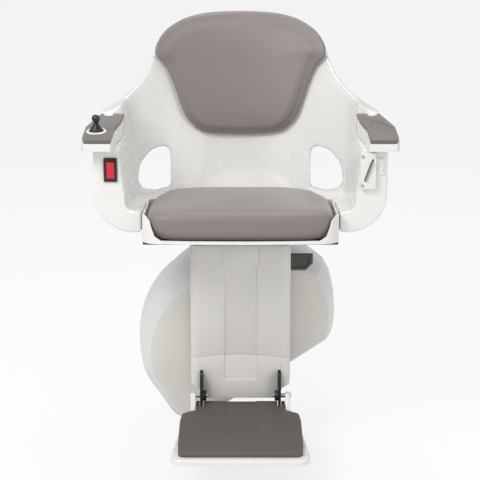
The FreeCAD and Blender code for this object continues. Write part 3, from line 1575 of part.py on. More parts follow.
make_chassis()
make_carriage_covers()
finish("carriage_guard", make_carriage_guard())
make_rollers()
make_drive()
make_levelling()
make_carriage_contents()
make_leg()
make_footrest()
make_swivel()
make_shell()
make_back_cushion()
make_seat_pan()
make_arms()
make_switch()
make_belt()
doc.recompute()

for item in doc.Objects:
    if "Invalid" in item.State or "Error" in item.State:
        raise ValueError(f"{item.Name} ({item.Label}) could not be worked out: {item.State}")

os.makedirs("parts", exist_ok=True)
for name, piece in FINISHED:
    shape = piece.Shape
    if shape.isNull() or not shape.isValid() or not shape.Solids:
        raise ValueError(f"{name} has no sound shape")
    shape.exportStep(f"parts/{name}.step")
    extent = shape.BoundBox
    print(
        f"{name}: {len(shape.Solids)} solid(s), {shape.Volume / 1000:.1f} cm3,"
        f" {extent.XLength:.1f} x {extent.YLength:.1f} x {extent.ZLength:.1f} mm"
    )
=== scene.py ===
# %% [markdown]
# # A stairlift chair
# The chair sits on a leg, and the leg hangs on a carriage that climbs a sloping tube. The CAD model is
# the frame for everything here: it is loaded first, it never moves, and each new piece is placed by
# its corners. Everything is in metres. The sitter faces -Y, +Z is up and +X is on our right.

import json
import math

import bmesh
import bpy
from mathutils import Matrix, Vector, noise
from mathutils.kdtree import KDTree


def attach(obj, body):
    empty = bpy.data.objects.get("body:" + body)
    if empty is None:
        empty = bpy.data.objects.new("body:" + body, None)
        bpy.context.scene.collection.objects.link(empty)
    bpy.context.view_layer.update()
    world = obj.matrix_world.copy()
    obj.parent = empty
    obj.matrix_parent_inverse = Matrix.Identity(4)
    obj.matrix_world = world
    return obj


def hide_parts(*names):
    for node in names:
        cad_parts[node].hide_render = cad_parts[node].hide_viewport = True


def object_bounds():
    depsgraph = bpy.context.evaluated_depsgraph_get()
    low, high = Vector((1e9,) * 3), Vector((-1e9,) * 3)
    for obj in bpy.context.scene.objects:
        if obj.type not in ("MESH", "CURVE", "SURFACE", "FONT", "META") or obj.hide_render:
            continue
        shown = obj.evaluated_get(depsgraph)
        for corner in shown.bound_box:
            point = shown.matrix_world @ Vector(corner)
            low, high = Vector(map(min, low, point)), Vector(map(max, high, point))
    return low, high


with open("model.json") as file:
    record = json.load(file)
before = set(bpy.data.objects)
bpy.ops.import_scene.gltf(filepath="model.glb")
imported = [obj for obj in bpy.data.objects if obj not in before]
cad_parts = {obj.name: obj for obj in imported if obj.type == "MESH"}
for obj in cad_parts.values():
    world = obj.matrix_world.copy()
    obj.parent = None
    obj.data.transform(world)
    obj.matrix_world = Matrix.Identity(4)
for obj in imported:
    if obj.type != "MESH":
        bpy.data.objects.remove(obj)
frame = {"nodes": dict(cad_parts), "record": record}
NODES = frame["nodes"]
CAD_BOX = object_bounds()

# %% [markdown]
# ## Where the picture is taken from
# The picture looks slightly down, from straight in front. A long lens far away keeps the arms and the
# footrest in their true proportions; a short lens close by would swell the footrest, which comes
# half a metre nearer to us than the back.

# %% Camera
CAMERA_AIM = Vector((0.0, -0.21, 0.2))
CAMERA_DISTANCE = 3.3
LOOKS_DOWN = math.radians(14.5)
PICTURE_WIDTH = 480
FOCAL_LENGTH_IN_PIXELS = 1463
SENSOR_WIDTH = 36
MIDDLE_OFFSET_IN_PIXELS = -0.5

camera_data = bpy.data.cameras.new("camera")
camera_data.lens = SENSOR_WIDTH * FOCAL_LENGTH_IN_PIXELS / PICTURE_WIDTH
camera_data.shift_x = MIDDLE_OFFSET_IN_PIXELS / PICTURE_WIDTH
camera = bpy.data.objects.new("camera", camera_data)
towards = Vector((0, -math.cos(LOOKS_DOWN), math.sin(LOOKS_DOWN)))
camera.location = CAMERA_AIM + CAMERA_DISTANCE * towards
camera.rotation_euler = (math.pi / 2 - LOOKS_DOWN, 0, 0)
bpy.context.scene.collection.objects.link(camera)
bpy.context.scene.camera = camera
print("camera at", tuple(round(c, 3) for c in camera.location))

# %% [markdown]
# ## Light
# A product studio lights a white chair with large soft boxes, so that its edges show by gentle
# shading. The strongest box is high on the left, a weaker one fills from the right, and a third from
# above brightens the tops of the back and the arms. The world adds a low, even light.

# %% Lamps and world
def soft_box(name, place, aim, width, height, watts):
    """A rectangular lamp at a place, turned towards a point."""
    data = bpy.data.lights.new(name, "AREA")
    data.shape = "RECTANGLE"
    data.size = width
    data.size_y = height
    data.energy = watts
    lamp = bpy.data.objects.new(name, data)
    lamp.location = place
    lamp.rotation_euler = (Vector(aim) - Vector(place)).to_track_quat("-Z", "Y").to_euler()
    bpy.context.scene.collection.objects.link(lamp)
    return lamp


soft_box("key", (-1.5, -2.0, 2.3), (0, -0.2, 0.25), 1.3, 1.3, 52)
soft_box("fill", (2.2, -2.4, 0.9), (0, -0.2, 0.2), 1.6, 1.6, 16)
soft_box("overhead", (0.3, 0.4, 2.6), (0, -0.1, 0.3), 1.8, 1.2, 22)

world = bpy.data.worlds.new("studio")
bpy.context.scene.world = world
world.use_nodes = True
world.node_tree.nodes["Background"].inputs["Color"].default_value = (1, 1, 1, 1)
world.node_tree.nodes["Background"].inputs["Strength"].default_value = 0.55
bpy.context.scene.view_settings.view_transform = "Standard"

# %% [markdown]
# ## Writing shader maths as plain expressions
# A material's nodes are easiest to read as sums. `Wire` wraps one output of a node, and its operators
# add Math nodes, so `1 - mask * 0.5` builds two of them. `Paint` makes one material and adds any
# other node from its type, its settings and what goes into its sockets.

# %% A wrapper for sockets
class Wire:
    """One output socket; arithmetic on it adds Math nodes."""

    def __init__(self, paint, socket):
        self.paint = paint
        self.socket = socket

    def maths(self, operation, first, second=None, clamp=False):
        values = {0: first} if second is None else {0: first, 1: second}
        return self.paint.add("Math", {"operation": operation, "use_clamp": clamp}, values)

    def __add__(self, other):
        return self.maths("ADD", self, other)

    def __radd__(self, other):
        return self.maths("ADD", other, self)

    def __sub__(self, other):
        return self.maths("SUBTRACT", self, other)

    def __rsub__(self, other):
        return self.maths("SUBTRACT", other, self)

    def __mul__(self, other):
        return self.maths("MULTIPLY", self, other)

    def __rmul__(self, other):
        return self.maths("MULTIPLY", other, self)

    def clamped(self):
        return self.maths("ADD", self, 0.0, clamp=True)


class Paint:
    """One material: its Principled shader, and any other node by type."""

    def __init__(self, name):
        self.material = bpy.data.materials.new(name)
        self.material.use_nodes = True
        self.tree = self.material.node_tree
        self.shader = self.tree.nodes["Principled BSDF"]

    def add(self, kind, settings=None, values=None, output=0):
        node = self.tree.nodes.new("ShaderNode" + kind)
        for key, setting in (settings or {}).items():
            setattr(node, key, setting)
        for key, given in (values or {}).items():
            self.feed(node.inputs[key], given)
        return Wire(self, node.outputs[output])

    def feed(self, socket, given):
        if isinstance(given, Wire):
            self.tree.links.new(given.socket, socket)
        else:
            socket.default_value = given

    def mix(self, share, first, second):
        """Blend two colours by a share from 0 to 1."""
        settings = {"data_type": "RGBA"}
        values = {0: share, 6: first, 7: second}
        return self.add("Mix", settings, values, output=2)

    def place(self):
        """Position in the object's own space, in metres."""
        return self.add("TexCoord", output=3)

    def stretched(self, scale, turn=(0, 0, 0)):
        return self.add("Mapping", None, {"Vector": self.place(), "Scale": scale, "Rotation": turn})

    def grain(self, scale, detail=2.0, rough=0.5, where=None):
        values = {"Vector": where or self.place(), "Scale": scale, "Detail": detail, "Roughness": rough}
        return self.add("TexNoise", None, values)

    def set(self, **values):
        for key, given in values.items():
            self.feed(self.shader.inputs[key.replace("_", " ")], given)
        return self

    def bump(self, height, distance, strength=1.0, under=None):
        values = {"Height": height, "Distance": distance, "Strength": strength}
        if under:
            values["Normal"] = under
        return self.add("Bump", None, values)


def rgb(red, green, blue):
    return (red, green, blue, 1.0)


def scaled(colour, factor):
    """The same colour, lighter or darker."""
    return tuple(c * factor for c in colour[:3]) + (1.0,)


print("shader helpers ready")

# %% [markdown]
# ## Finishes
# Each real material gets one recipe. Moulded plastic is smooth but never perfect: its colour drifts a
# little, its gloss varies where hands have been, and its skin has the faint ripple of a large mould.

# %% Moulded plastic
def moulded_plastic(name, colour, rough=0.3, coat=0.25, ripple=0.00005, stipple=0.0):
    paint = Paint(name)
    drift = paint.grain(7.0, 3.0)
    cloud = paint.grain(42.0, 2.0)
    tone = paint.mix((drift - 0.5) * 0.5 + 0.5, scaled(colour, 0.965), scaled(colour, 1.03))
    handled = (cloud - 0.5) * 0.10 + (drift - 0.5) * 0.06 + rough
    wave = paint.grain(26.0, 1.0)
    normal = paint.bump(wave, ripple, 0.5)
    if stipple:
        spark = paint.grain(900.0, 1.0)
        normal = paint.bump(spark, stipple, 0.6, under=normal)
    paint.set(Base_Color=tone, Roughness=handled.clamped(), Normal=normal)
    paint.set(Coat_Weight=coat, Coat_Roughness=0.12, IOR=1.48)
    return paint.material


SHELL_WHITE = rgb(0.80, 0.79, 0.765)
shell_white = moulded_plastic("shell_white", SHELL_WHITE, rough=0.27, coat=0.35)
shell_rear_white = moulded_plastic("shell_rear_white", rgb(0.79, 0.78, 0.755), rough=0.32, coat=0.25)
leg_white = moulded_plastic("leg_white", rgb(0.70, 0.68, 0.645), rough=0.38, coat=0.12)
cover_grey = moulded_plastic("cover_grey", rgb(0.72, 0.72, 0.715), rough=0.34, coat=0.2)
panel_beige = moulded_plastic("panel_beige", rgb(0.70, 0.675, 0.635), rough=0.4, coat=0.12)
plate_white = moulded_plastic("plate_white", rgb(0.78, 0.77, 0.745), rough=0.34, coat=0.2)
print("plastics:", len(bpy.data.materials))

# %% [markdown]
# ## Dark plastics and the red switch
# Black mouldings are textured so that they don't show scratches: a fine stipple breaks up their
# reflections. The knob and the red rocker are polished instead, because fingers touch them.

# %% Dark mouldings
COARSE_STIPPLE = 0.00006
FINE_STIPPLE = 0.00004
BLACK = rgb(0.017, 0.017, 0.018)
GUARD_BROWN = rgb(0.085, 0.078, 0.070)
ROLLER_GREY = rgb(0.045, 0.045, 0.047)
black_moulding = moulded_plastic("black_moulding", BLACK, rough=0.42, coat=0.0, stipple=COARSE_STIPPLE)
knob_black = moulded_plastic("knob_black", rgb(0.012, 0.012, 0.013), rough=0.22, coat=0.4)
rocker_red = moulded_plastic("rocker_red", rgb(0.60, 0.008, 0.016), rough=0.25, coat=0.4)
guard_dark = moulded_plastic("guard_dark", GUARD_BROWN, rough=0.5, coat=0.0, stipple=COARSE_STIPPLE)
roller_black = moulded_plastic("roller_black", ROLLER_GREY, rough=0.45, coat=0.0, stipple=FINE_STIPPLE)
print("dark plastics done, materials so far:", len(bpy.data.materials))

# %% [markdown]
# ## Upholstery
# The cushions are foam under a wipe-clean vinyl. Vinyl is embossed with a leather grain: small cells
# with soft valleys between them, which a Voronoi pattern gives, and broad faint creases from sitting.
# A little sheen stands for the matt top coat that makes rolled edges look paler than the middle.

# %% Vinyl
def vinyl(name, colour, rough=0.46, cell=520.0, depth=0.00016, sheen=0.25):
    paint = Paint(name)
    cells = paint.add(
        "TexVoronoi",
        {"feature": "SMOOTH_F1"},
        {"Vector": paint.place(), "Scale": cell, "Smoothness": 0.4},
    )
    broad = paint.grain(9.0, 3.0)
    mottle = paint.grain(75.0, 2.0)
    tone = paint.mix((broad - 0.5) * 0.8 + 0.5, scaled(colour, 0.93), scaled(colour, 1.07))
    # The cell pattern also darkens the colour towards the valleys between cells: painted shade in the
    # hollows of the grain.
    tone = paint.mix((cells * 0.5).clamped(), tone, scaled(colour, 0.86))
    handled = (broad - 0.5) * 0.16 + (mottle - 0.5) * 0.08 + rough
    normal = paint.bump(cells, depth, 0.55)
    normal = paint.bump(broad, 0.0012, 0.35, under=normal)
    paint.set(Base_Color=tone, Roughness=handled.clamped(), Normal=normal)
    paint.set(Sheen_Weight=sheen, Sheen_Roughness=0.4, IOR=1.46)
    return paint.material


upholstery = vinyl("upholstery", rgb(0.235, 0.205, 0.192))
arm_pad_skin = vinyl("arm_pad_skin", rgb(0.150, 0.135, 0.124), rough=0.5, cell=700.0, depth=0.0001)
print("vinyls:", upholstery.name, arm_pad_skin.name)

# %% [markdown]
# ## Rubber, steel and paint
# The footrest's mat is dull rubber with a fine grain. The hidden steelwork is powder coated,
# which looks like very fine orange peel, and turned parts carry fine rings from the lathe.

# %% Rubber
def rubber(name, colour):
    paint = Paint(name)
    fine = paint.grain(650.0, 2.0)
    dust = paint.grain(14.0, 4.0, 0.6)
    tone = paint.mix((dust - 0.42) * 0.9, scaled(colour, 0.93), scaled(colour, 1.18))
    paint.set(Base_Color=tone, Roughness=((dust - 0.5) * 0.14 + 0.58).clamped())
    paint.set(Normal=paint.bump(fine, 0.00012, 0.6), IOR=1.45)
    return paint.material


def powder_coat(name, colour, rough=0.45):
    paint = Paint(name)
    peel = paint.grain(420.0, 2.0)
    drift = paint.grain(11.0, 3.0)
    tone = paint.mix(drift, scaled(colour, 0.9), scaled(colour, 1.12))
    paint.set(Base_Color=tone, Roughness=((drift - 0.5) * 0.12 + rough).clamped())
    paint.set(Normal=paint.bump(peel, 0.0001, 0.5), IOR=1.5)
    return paint.material


def turned_metal(name, colour, rough=0.28, along=(1, 40, 1), metallic=1.0):
    """Metal with fine tool marks, closer together along one direction."""
    paint = Paint(name)
    marks = paint.grain(60.0, 3.0, 0.6, where=paint.stretched(along))
    stain = paint.grain(16.0, 3.0)
    tone = paint.mix(stain, scaled(colour, 0.84), scaled(colour, 1.08))
    shine = (marks - 0.5) * 0.22 + (stain - 0.5) * 0.12 + rough
    paint.set(Base_Color=tone, Metallic=metallic, Roughness=shine.clamped())
    paint.set(Normal=paint.bump(marks, 0.00005, 0.4))
    return paint.material


mat_rubber = rubber("mat_rubber", rgb(0.115, 0.103, 0.092))
black_steel = powder_coat("black_steel", rgb(0.013, 0.013, 0.014), 0.4)
frame_paint = powder_coat("frame_paint", rgb(0.075, 0.077, 0.082))
motor_paint = powder_coat("motor_paint", rgb(0.05, 0.05, 0.055), 0.5)
cast_metal = powder_coat("cast_metal", rgb(0.24, 0.24, 0.25), 0.55)
bright_steel = turned_metal("bright_steel", rgb(0.66, 0.66, 0.65))
gear_steel = turned_metal("gear_steel", rgb(0.46, 0.46, 0.47), 0.34, along=(30, 2, 30))
bronze = turned_metal("bronze", rgb(0.55, 0.38, 0.16), 0.4)
print("finishes:", len(bpy.data.materials))

# %% [markdown]
# ## Dressing the CAD nodes
# The record names a finish for every node. One table turns those names into the materials above, so
# that no node is left plain.

# %% A material for every node
FINISH_OF_SLOT = {
    "shell_plastic": shell_white,
    "shell_back_plastic": shell_rear_white,
    "upholstery": upholstery,
    "arm_pad_grey": arm_pad_skin,
    "footrest_rubber": mat_rubber,
    "leg_plastic": leg_white,
    "cover_plastic": cover_grey,
    "panel_plastic": panel_beige,
    "guard_plastic": guard_dark,
    "black_plastic": black_moulding,
    "black_steel": black_steel,
    "joystick_black": knob_black,
    "red_switch": rocker_red,
    "joystick_white": plate_white,
    "bright_steel": bright_steel,
    "gear_steel": gear_steel,
    "cast_metal": cast_metal,
    "motor_metal": motor_paint,
    "bronze": bronze,
    "frame_paint": frame_paint,
    "roller_polymer": roller_black,
}
SLOT_OF_NODE = {row["node"]: row["material_slot"] for row in frame["record"]["subparts"]}


def dress(piece, material):
    piece.data.materials.clear()
    piece.data.materials.append(material)
    return piece


for node_name, node in NODES.items():
    dress(node, FINISH_OF_SLOT[SLOT_OF_NODE[node_name]])
print("dressed", len(NODES), "nodes")

# %% [markdown]
# ## Tools for making pieces
# A soft cushion or a rounded moulding is easiest to make as rings: each ring is the same outline, drawn
# in and lifted a little, and neighbouring rings are joined by a strip of quads. `skin_rings` does that
# for any list of rings and closes both ends.

# %% Mesh helpers
def new_piece(name, mesh, material, body):
    """An object for a finished mesh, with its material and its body."""
    piece = bpy.data.objects.new(name, mesh)
    bpy.context.scene.collection.objects.link(piece)
    dress(piece, material)
    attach(piece, body)
    return piece


def skin_rings(name, rings):
    """Join rings of equal length with quads and close the first and the last with a fan."""
    mesh = bpy.data.meshes.new(name)
    form = bmesh.new()
    rows = [[form.verts.new(point) for point in ring] for ring in rings]
    count = len(rows[0])
    for low, high in zip(rows, rows[1:]):
        for index in range(count):
            following = (index + 1) % count
            form.faces.new((low[index], low[following], high[following], high[index]))
    for row in (rows[0], rows[-1]):
        hub = form.verts.new(sum((vert.co for vert in row), Vector()) / count)
        for index in range(count):
            form.faces.new((row[index], row[(index + 1) % count], hub))
    bmesh.ops.recalc_face_normals(form, faces=form.faces)
    form.to_mesh(mesh)
    form.free()
    for polygon in mesh.polygons:
        polygon.use_smooth = True
    return mesh


CURVE_STEPS = 24
OUTLINE_POINTS = 240
SAME_POINT = 1e-6
FLAT_ENOUGH = math.radians(0.6)


def closed_curve(corners, count):
    """Points at even steps along a smooth closed curve through the corners."""
    fine = []
    total = len(corners)
    for index in range(total):
        before, start, end, after = (Vector(corners[(index + shift) % total]) for shift in (-1, 0, 1, 2))
        for step in range(CURVE_STEPS):
            t = step / CURVE_STEPS
            bend = (3 * start - 3 * end + after - before) * 0.5
            lean = (2 * before - 5 * start + 4 * end - after) * 0.5
            fine.append(start + t * 0.5 * (end - before) + t * t * lean + t**3 * bend)
    lengths = [0.0]
    for first, second in zip(fine, fine[1:] + fine[:1]):
        lengths.append(lengths[-1] + (second - first).length)
    points = []
    place = 0
    for step in range(count):
        wanted = lengths[-1] * step / count
        while lengths[place + 1] < wanted:
            place += 1
        share = (wanted - lengths[place]) / (lengths[place + 1] - lengths[place])
        points.append(fine[place].lerp(fine[(place + 1) % len(fine)], share))
    return points


def finish_mesh(piece, *modifiers):
    """Add modifiers in order, each a type and its settings, and apply them all."""
    for kind, settings in modifiers:
        modifier = piece.modifiers.new(kind.lower(), kind)
        for key, setting in settings.items():
            setattr(modifier, key, setting)
    bpy.context.view_layer.update()
    graph = bpy.context.evaluated_depsgraph_get()
    done = bpy.data.meshes.new_from_object(piece.evaluated_get(graph))
    piece.modifiers.clear()
    piece.data = done
    return piece


def smooth_shade(piece, angle):
    """Shade round where faces meet gently, and keep true corners sharp."""
    mesh = piece.data
    for polygon in mesh.polygons:
        polygon.use_smooth = True
    mesh.set_sharp_from_angle(angle=angle)
    return piece


print("mesh helpers ready")

# %% [markdown]
# ## Easing the edges of the mouldings
# No moulded or folded part has a knife edge: a radius of a millimetre or two catches the light and
# tells the eye that the piece is plastic. A CAD node is copied, its flat faces are cleaned up so that
# the bevel finds only real edges, and the copy stands for the node.

# %% Eased copies of CAD nodes
BODY_OF_NODE = {
    node: body for body, nodes in frame["record"]["behaviour"]["bodies"].items() for node in nodes
}


def cleaned_form(mesh):
    """A mesh opened for editing, with its flat faces made whole."""
    form = bmesh.new()
    form.from_mesh(mesh)
    bmesh.ops.remove_doubles(form, verts=form.verts, dist=SAME_POINT)
    bmesh.ops.dissolve_limit(form, angle_limit=FLAT_ENOUGH, verts=form.verts, edges=form.edges)
    return form


def cleaned_copy(node_name):
    """A copy of one node's mesh with its flat faces made whole."""
    mesh = NODES[node_name].data.copy()
    form = cleaned_form(mesh)
    form.to_mesh(mesh)
    form.free()
    return mesh


BEVEL_SETTINGS = {
    "segments": 3,
    "limit_method": "ANGLE",
    "angle_limit": math.radians(32),
    "harden_normals": False,
    "miter_outer": "MITER_ARC",
}


def eased(node_name, width):
    """Stand a copy with rounded edges in for a CAD node."""
    slot = SLOT_OF_NODE[node_name]
    body = BODY_OF_NODE[node_name]
    piece = new_piece(node_name + "_eased", cleaned_copy(node_name), FINISH_OF_SLOT[slot], body)
    finish_mesh(piece, ("BEVEL", {"width": width, **BEVEL_SETTINGS}))
    smooth_shade(piece, math.radians(40))
    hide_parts(node_name)
    return piece


EASED_WIDTHS = {
    "carriage_front_cover": 0.0016,
    "carriage_front_panel": 0.0012,
    "carriage_guard": 0.0015,
    "leg_upper_cover": 0.0012,
    "leg_lower_cover": 0.0012,
    "arm_left": 0.0025,
    "arm_right": 0.0025,
    "arm_pad_left": 0.0028,
    "arm_pad_right": 0.0028,
    "seat_tray": 0.0012,
    "footrest_tray": 0.0015,
    "footrest_mat": 0.0018,
    "belt_housing": 0.0022,
    "belt_bracket": 0.001,
    "switch_bezel": 0.001,
    "switch_rocker": 0.0009,
    "joystick_plate": 0.0008,
    "footrest_brackets": 0.0012,
}
for node_name, width in EASED_WIDTHS.items():
    piece = eased(node_name, width)
    print(node_name, "eased, faces:", len(piece.data.polygons))

# %% [markdown]
# ## The back cushion
# The back cushion is a foam pad with ears, set into the hollow of the shell. Seen from the front its
# outline is what matters, so the outline is drawn as a smooth curve through a few points. From it the
# surface goes in by steps: a tight roll at the edge, a pale border that rises gently, and a wide face
# that is nearly flat. How deep each point lies follows the shell's inner wall, a tub that leans back.

# %% Where the shell is
SHELL_RADIUS = 0.3414
SHELL_LEAN = 0.30
SHELL_FOOT_DEPTH = 0.012
SHELL_FOOT_HEIGHT = 0.404


def wall_behind(across, height):
    """How far back the inside of the shell lies: a leaning tub, round in plan."""
    centre = SHELL_FOOT_DEPTH + (height - SHELL_FOOT_HEIGHT) * SHELL_LEAN
    drop = math.sqrt(SHELL_RADIUS**2 - across**2) - SHELL_RADIUS
    return centre + drop / math.cos(math.atan(SHELL_LEAN))


print("wall behind the middle:", round(wall_behind(0, 0.5), 4))

# %% The outline of the back cushion
BACK_OUTLINE_LEFT = (
    (0.0, 0.684), (-0.059, 0.6825), (-0.097, 0.6785), (-0.132, 0.670), (-0.160, 0.656), (-0.179, 0.641),
    (-0.192, 0.622), (-0.198, 0.606), (-0.196, 0.591), (-0.189, 0.581), (-0.180, 0.573), (-0.169, 0.555),
    (-0.160, 0.533), (-0.149, 0.502), (-0.138, 0.470), (-0.128, 0.448), (-0.114, 0.431), (-0.097, 0.417),
    (-0.072, 0.409), (-0.033, 0.406), (0.0, 0.405),
)
BACK_MIDDLE = 0.545
back_corners = [Vector((x, 0, z)) for x, z in BACK_OUTLINE_LEFT]
back_corners += [Vector((-x, 0, z)) for x, z in reversed(BACK_OUTLINE_LEFT[1:-1])]
back_outline = closed_curve(back_corners, OUTLINE_POINTS)
print("back outline:", len(back_outline), "points")


def border_width(point):
    """The pale border is wide round the top and the ears and narrow along the lower sides."""
    rise = (point.z - 0.555) / 0.05
    share = max(0.0, min(1.0, 0.5 + 0.5 * rise))
    return 0.010 + 0.016 * share * share * (3 - 2 * share)


def inward(index, reach=9):
    """The direction into the cushion at one outline point, evened out over its neighbours."""
    total = Vector()
    for shift in range(-reach, reach + 1):
        before = back_outline[(index + shift - 1) % len(back_outline)]
        after = back_outline[(index + shift + 1) % len(back_outline)]
        along = (after - before).normalized()
        total += Vector((along.z, 0, -along.x))
    return total.normalized()


inward_at = [inward(index) for index in range(len(back_outline))]
if inward_at[0].z > 0:
    inward_at = [-direction for direction in inward_at]
print("at the top the surface runs in along", tuple(round(c, 2) for c in inward_at[0]))

# %% The back cushion's surface
ROLL_WIDTH = 0.0062
BACK_INSET = 0.010
BACK_GAP = 0.001
BACK_SHARES = (0.9, 0.6, 0.3)
EDGE_ROLL = (
    (BACK_INSET, BACK_GAP), (0.004, 0.0025), (0.001, 0.006), (0.0, 0.0105), (0.0008, 0.0155),
    (0.0030, 0.0190), (ROLL_WIDTH, 0.0210),
)
BORDER_RISE = ((0.25, 0.0222), (0.6, 0.0262), (0.92, 0.0303), (1.08, 0.0318))
FACE_RISE = (
    (0.10, 0.0330), (0.22, 0.0346), (0.38, 0.0362), (0.56, 0.0375), (0.74, 0.0384), (0.90, 0.0389),
)


def back_point(place, lift):
    """A point of the cushion over its place on the shell."""
    return Vector((place.x, wall_behind(place.x, place.z) - lift, place.z))


def towards_spine(place, share):
    """Move a place towards the middle line of the cushion."""
    return place.lerp(Vector((0, 0, BACK_MIDDLE + (place.z - BACK_MIDDLE) * 0.5)), share)


def back_rings():
    """Rings from the middle of the rear side, round the rolled edge, to the middle of the face."""
    spots = list(zip(back_outline, inward_at))
    rings = []
    for share in BACK_SHARES:
        row = [towards_spine(p + way * BACK_INSET, share) for p, way in spots]
        rings.append([back_point(place, BACK_GAP) for place in row])
    for inset, lift in EDGE_ROLL:
        rings.append([back_point(p + way * inset, lift) for p, way in spots])
    for share, lift in BORDER_RISE:
        row = [p + way * (ROLL_WIDTH + share * border_width(p)) for p, way in spots]
        rings.append([back_point(place, lift) for place in row])
    for share, lift in FACE_RISE:
        row = []
        for p, way in spots:
            inner = p + way * (ROLL_WIDTH + BORDER_RISE[-1][0] * border_width(p))
            row.append(back_point(towards_spine(inner, share), lift))
        rings.append(row)
    return rings


back_pad = new_piece("back_pad", skin_rings("back_pad", back_rings()), upholstery, "seat")
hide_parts("back_cushion")
print("back pad faces:", len(back_pad.data.polygons))

# %% [markdown]
# ## The seat cushion
# The seat cushion is a block of foam in a white tray. Its front drops in a soft vertical face with a
# broad round above it, and the top is nearly flat and slopes down to the back. It is built flat, as
# rings that follow the side of the cushion from underneath to the crown, and then tilted as the seat is.

# %% The seat cushion
SEAT_SLOPE = math.radians(4)
SEAT_FRONT = -0.450
SEAT_PIVOT_HEIGHT = 0.252
SEAT_LOW = 0.2563
SEAT_SIDE = (
    (0.30, 0.0), (0.86, 0.0), (0.925, 0.004), (0.965, 0.012), (0.988, 0.024), (0.998, 0.036), (0.997, 0.044),
    (0.988, 0.051), (0.968, 0.0572), (0.93, 0.0612), (0.87, 0.0636), (0.74, 0.0652), (0.55, 0.0664),
    (0.32, 0.0674), (0.12, 0.0678),
)
SEAT_PLAN_RIGHT = (
    (0.0, -0.455), (0.06, -0.4545), (0.12, -0.4515), (0.155, -0.447), (0.182, -0.436), (0.195, -0.416),
    (0.1985, -0.385), (0.199, -0.32), (0.198, -0.25), (0.190, -0.18), (0.172, -0.125), (0.150, -0.088),
    (0.115, -0.066), (0.06, -0.0595), (0.0, -0.0585),
)
seat_corners = [Vector((x, y, 0)) for x, y in SEAT_PLAN_RIGHT]
seat_corners += [Vector((-x, y, 0)) for x, y in reversed(SEAT_PLAN_RIGHT[1:-1])]
seat_outline = closed_curve(seat_corners, OUTLINE_POINTS)
SEAT_MIDDLE = Vector((0, -0.257, 0))


def seat_point(point, scale, rise):
    """A point of the flat cushion, tilted about the seat's front lower edge."""
    flat = SEAT_MIDDLE + (point - SEAT_MIDDLE) * scale
    puff = 0.0009 * noise.noise(Vector((flat.x * 9, flat.y * 9, 7.0)))
    forward = flat.y - SEAT_FRONT
    up = SEAT_LOW - SEAT_PIVOT_HEIGHT + rise + puff * min(1.0, rise / 0.05)
    return Vector(
        (
            flat.x,
            SEAT_FRONT + forward * math.cos(SEAT_SLOPE) + up * math.sin(SEAT_SLOPE),
            SEAT_PIVOT_HEIGHT - forward * math.sin(SEAT_SLOPE) + up * math.cos(SEAT_SLOPE),
        )
    )


seat_rings = [[seat_point(p, scale, rise) for p in seat_outline] for scale, rise in SEAT_SIDE]
seat_mesh = skin_rings("seat_pad", seat_rings)
seat_pad = new_piece("seat_pad", seat_mesh, upholstery, "folding_seat")
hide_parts("seat_cushion")
print("seat pad faces:", len(seat_pad.data.polygons))

# %% [markdown]
# ## The shell
# The shell is one thick moulding whose rim is rounded, wide at the arms and thin at the ears. The CAD
# shell has the right walls but square rims. Its two solids are joined, remeshed with small even faces
# and relaxed, which rounds every edge as the mould does. The broad walls are then relaxed once more,
# away from the edges, so that the facets of the CAD mesh show less in their gloss.

# %% The rounded shell
VOXEL = 0.0034
SHARP_ANGLE = math.radians(40)
EDGE_STEP = 0.003
EDGE_ZONE = (0.004, 0.020)


def joined_copy(name, *node_names):
    """One mesh with copies of several nodes."""
    form = bmesh.new()
    for node_name in node_names:
        form.from_mesh(NODES[node_name].data)
    mesh = bpy.data.meshes.new(name)
    form.to_mesh(mesh)
    form.free()
    return mesh


def mark_broad_walls(piece, source, near, far):
    """A vertex group that is full on broad walls and empty along the source's sharp edges."""
    form = cleaned_form(source)
    sharp = []
    for edge in form.edges:
        if len(edge.link_faces) == 2 and edge.calc_face_angle(0) > SHARP_ANGLE:
            start, end = edge.verts[0].co.copy(), edge.verts[1].co.copy()
            steps = int((end - start).length / EDGE_STEP) + 1
            sharp += [start.lerp(end, step / steps) for step in range(steps + 1)]
    form.free()
    near_edge = KDTree(len(sharp))
    for index, point in enumerate(sharp):
        near_edge.insert(point, index)
    near_edge.balance()
    group = piece.vertex_groups.new(name="broad")
    for vert in piece.data.vertices:
        share = max(0.0, min(1.0, (near_edge.find(vert.co)[2] - near) / (far - near)))
        group.add([vert.index], share, "REPLACE")


shell_source = joined_copy("shell_round", "seat_shell", "shell_back")
shell_round = new_piece("shell_round", shell_source, shell_white, "seat")
finish_mesh(
    shell_round,
    ("REMESH", {"mode": "VOXEL", "voxel_size": VOXEL, "adaptivity": 0.0}),
    ("SMOOTH", {"factor": 0.5, "iterations": 14}),
)
mark_broad_walls(shell_round, shell_source, *EDGE_ZONE)
finish_mesh(shell_round, ("SMOOTH", {"factor": 0.9, "iterations": 110, "vertex_group": "broad"}))
shell_round.vertex_groups.clear()
smooth_shade(shell_round, math.radians(80))
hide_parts("seat_shell", "shell_back")
print("shell faces:", len(shell_round.data.polygons))

# %% [markdown]
# ## The joystick
# The boot is a soft rubber skirt that flares onto its plate, and the lever ends in a polished bulb.
# Both are turned forms, so each is a profile swept round the lever's own axis.

# %% The joystick's boot and knob
def turned_piece(name, profile, foot, tilt, material, body, sides=48):
    """Sweep a profile of radius and height round an axis that leans by tilt about X."""
    turn = Matrix.Rotation(tilt, 4, "X")
    rings = []
    for radius, rise in profile:
        ring = []
        for side in range(sides):
            angle = 2 * math.pi * side / sides
            ring.append(foot + turn @ Vector((radius * math.cos(angle), radius * math.sin(angle), rise)))
        rings.append(ring)
    return new_piece(name, skin_rings(name, rings), material, body)


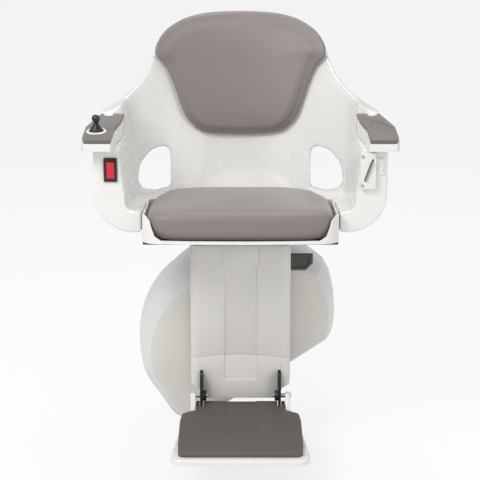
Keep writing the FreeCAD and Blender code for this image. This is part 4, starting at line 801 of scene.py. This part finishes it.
PAD_REAR_Y, PAD_REAR_Z = 0.190, 0.487
PAD_FRONT_Y, PAD_FRONT_Z = 0.420, 0.467
ARM_FALL = math.atan(20 / 230)
JOYSTICK_FOOT = Vector((-0.305, -0.352, 0))
FOOT_SHARE = (0.352 - PAD_REAR_Y) / (PAD_FRONT_Y - PAD_REAR_Y)
JOYSTICK_FOOT.z = PAD_REAR_Z + (PAD_FRONT_Z - PAD_REAR_Z) * FOOT_SHARE
BOOT_PROFILE = (
    (0.0158, 0.0022), (0.0160, 0.0030), (0.0152, 0.0041), (0.0136, 0.0056), (0.0117, 0.0078),
    (0.0098, 0.0104), (0.0080, 0.0132), (0.0066, 0.0158), (0.0057, 0.0180), (0.0052, 0.0196),
)
KNOB_PROFILE = (
    (0.0030, 0.0080), (0.0034, 0.0150), (0.0040, 0.0190), (0.0056, 0.0212), (0.0074, 0.0234),
    (0.0086, 0.0262), (0.0089, 0.0290), (0.0085, 0.0318), (0.0073, 0.0343), (0.0054, 0.0361),
    (0.0030, 0.0371), (0.0010, 0.0374),
)
JOYSTICK_PIECES = (
    ("boot_round", BOOT_PROFILE, black_moulding, "joystick_boot"),
    ("knob_round", KNOB_PROFILE, knob_black, "joystick_lever"),
)
for name, profile, material, node_name in JOYSTICK_PIECES:
    body, slot = BODY_OF_NODE[node_name], SLOT_OF_NODE[node_name]
    piece = turned_piece(name, profile, JOYSTICK_FOOT, ARM_FALL, material, body)
    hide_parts(node_name)
print("joystick foot", tuple(round(c, 4) for c in JOYSTICK_FOOT))

# %% [markdown]
# ## Floor
# The floor and the backdrop are one pale plane. The camera sees it as white paper through Light
# Path's camera ray, and the object still leaves a faint shadow on it.

# %% Floor
floor_mesh = bpy.data.meshes.new("floor")
FLOOR_LEVEL = CAD_BOX[0][2] - 0.004
floor_corners = [(x, y, FLOOR_LEVEL) for x, y in ((-12, -8), (12, -8), (12, 22), (-12, 22))]
floor_mesh.from_pydata(floor_corners, [], [(0, 1, 2, 3)])
floor = bpy.data.objects.new("floor", floor_mesh)
bpy.context.scene.collection.objects.link(floor)
paper = Paint("paper")
paper.set(Base_Color=rgb(0.86, 0.86, 0.86), Roughness=0.9)
seen = paper.add("LightPath", output="Is Camera Ray")
glow = paper.add("Emission", None, {"Color": rgb(1, 1, 1), "Strength": 1.0})
matt = Wire(paper, paper.shader.outputs[0])
both = paper.add("MixShader", None, {0: seen * 0.8, 1: matt, 2: glow})
paper.tree.links.new(both.socket, paper.tree.nodes["Material Output"].inputs["Surface"])
dress(floor, paper.material)
print("floor at", round(FLOOR_LEVEL, 3))
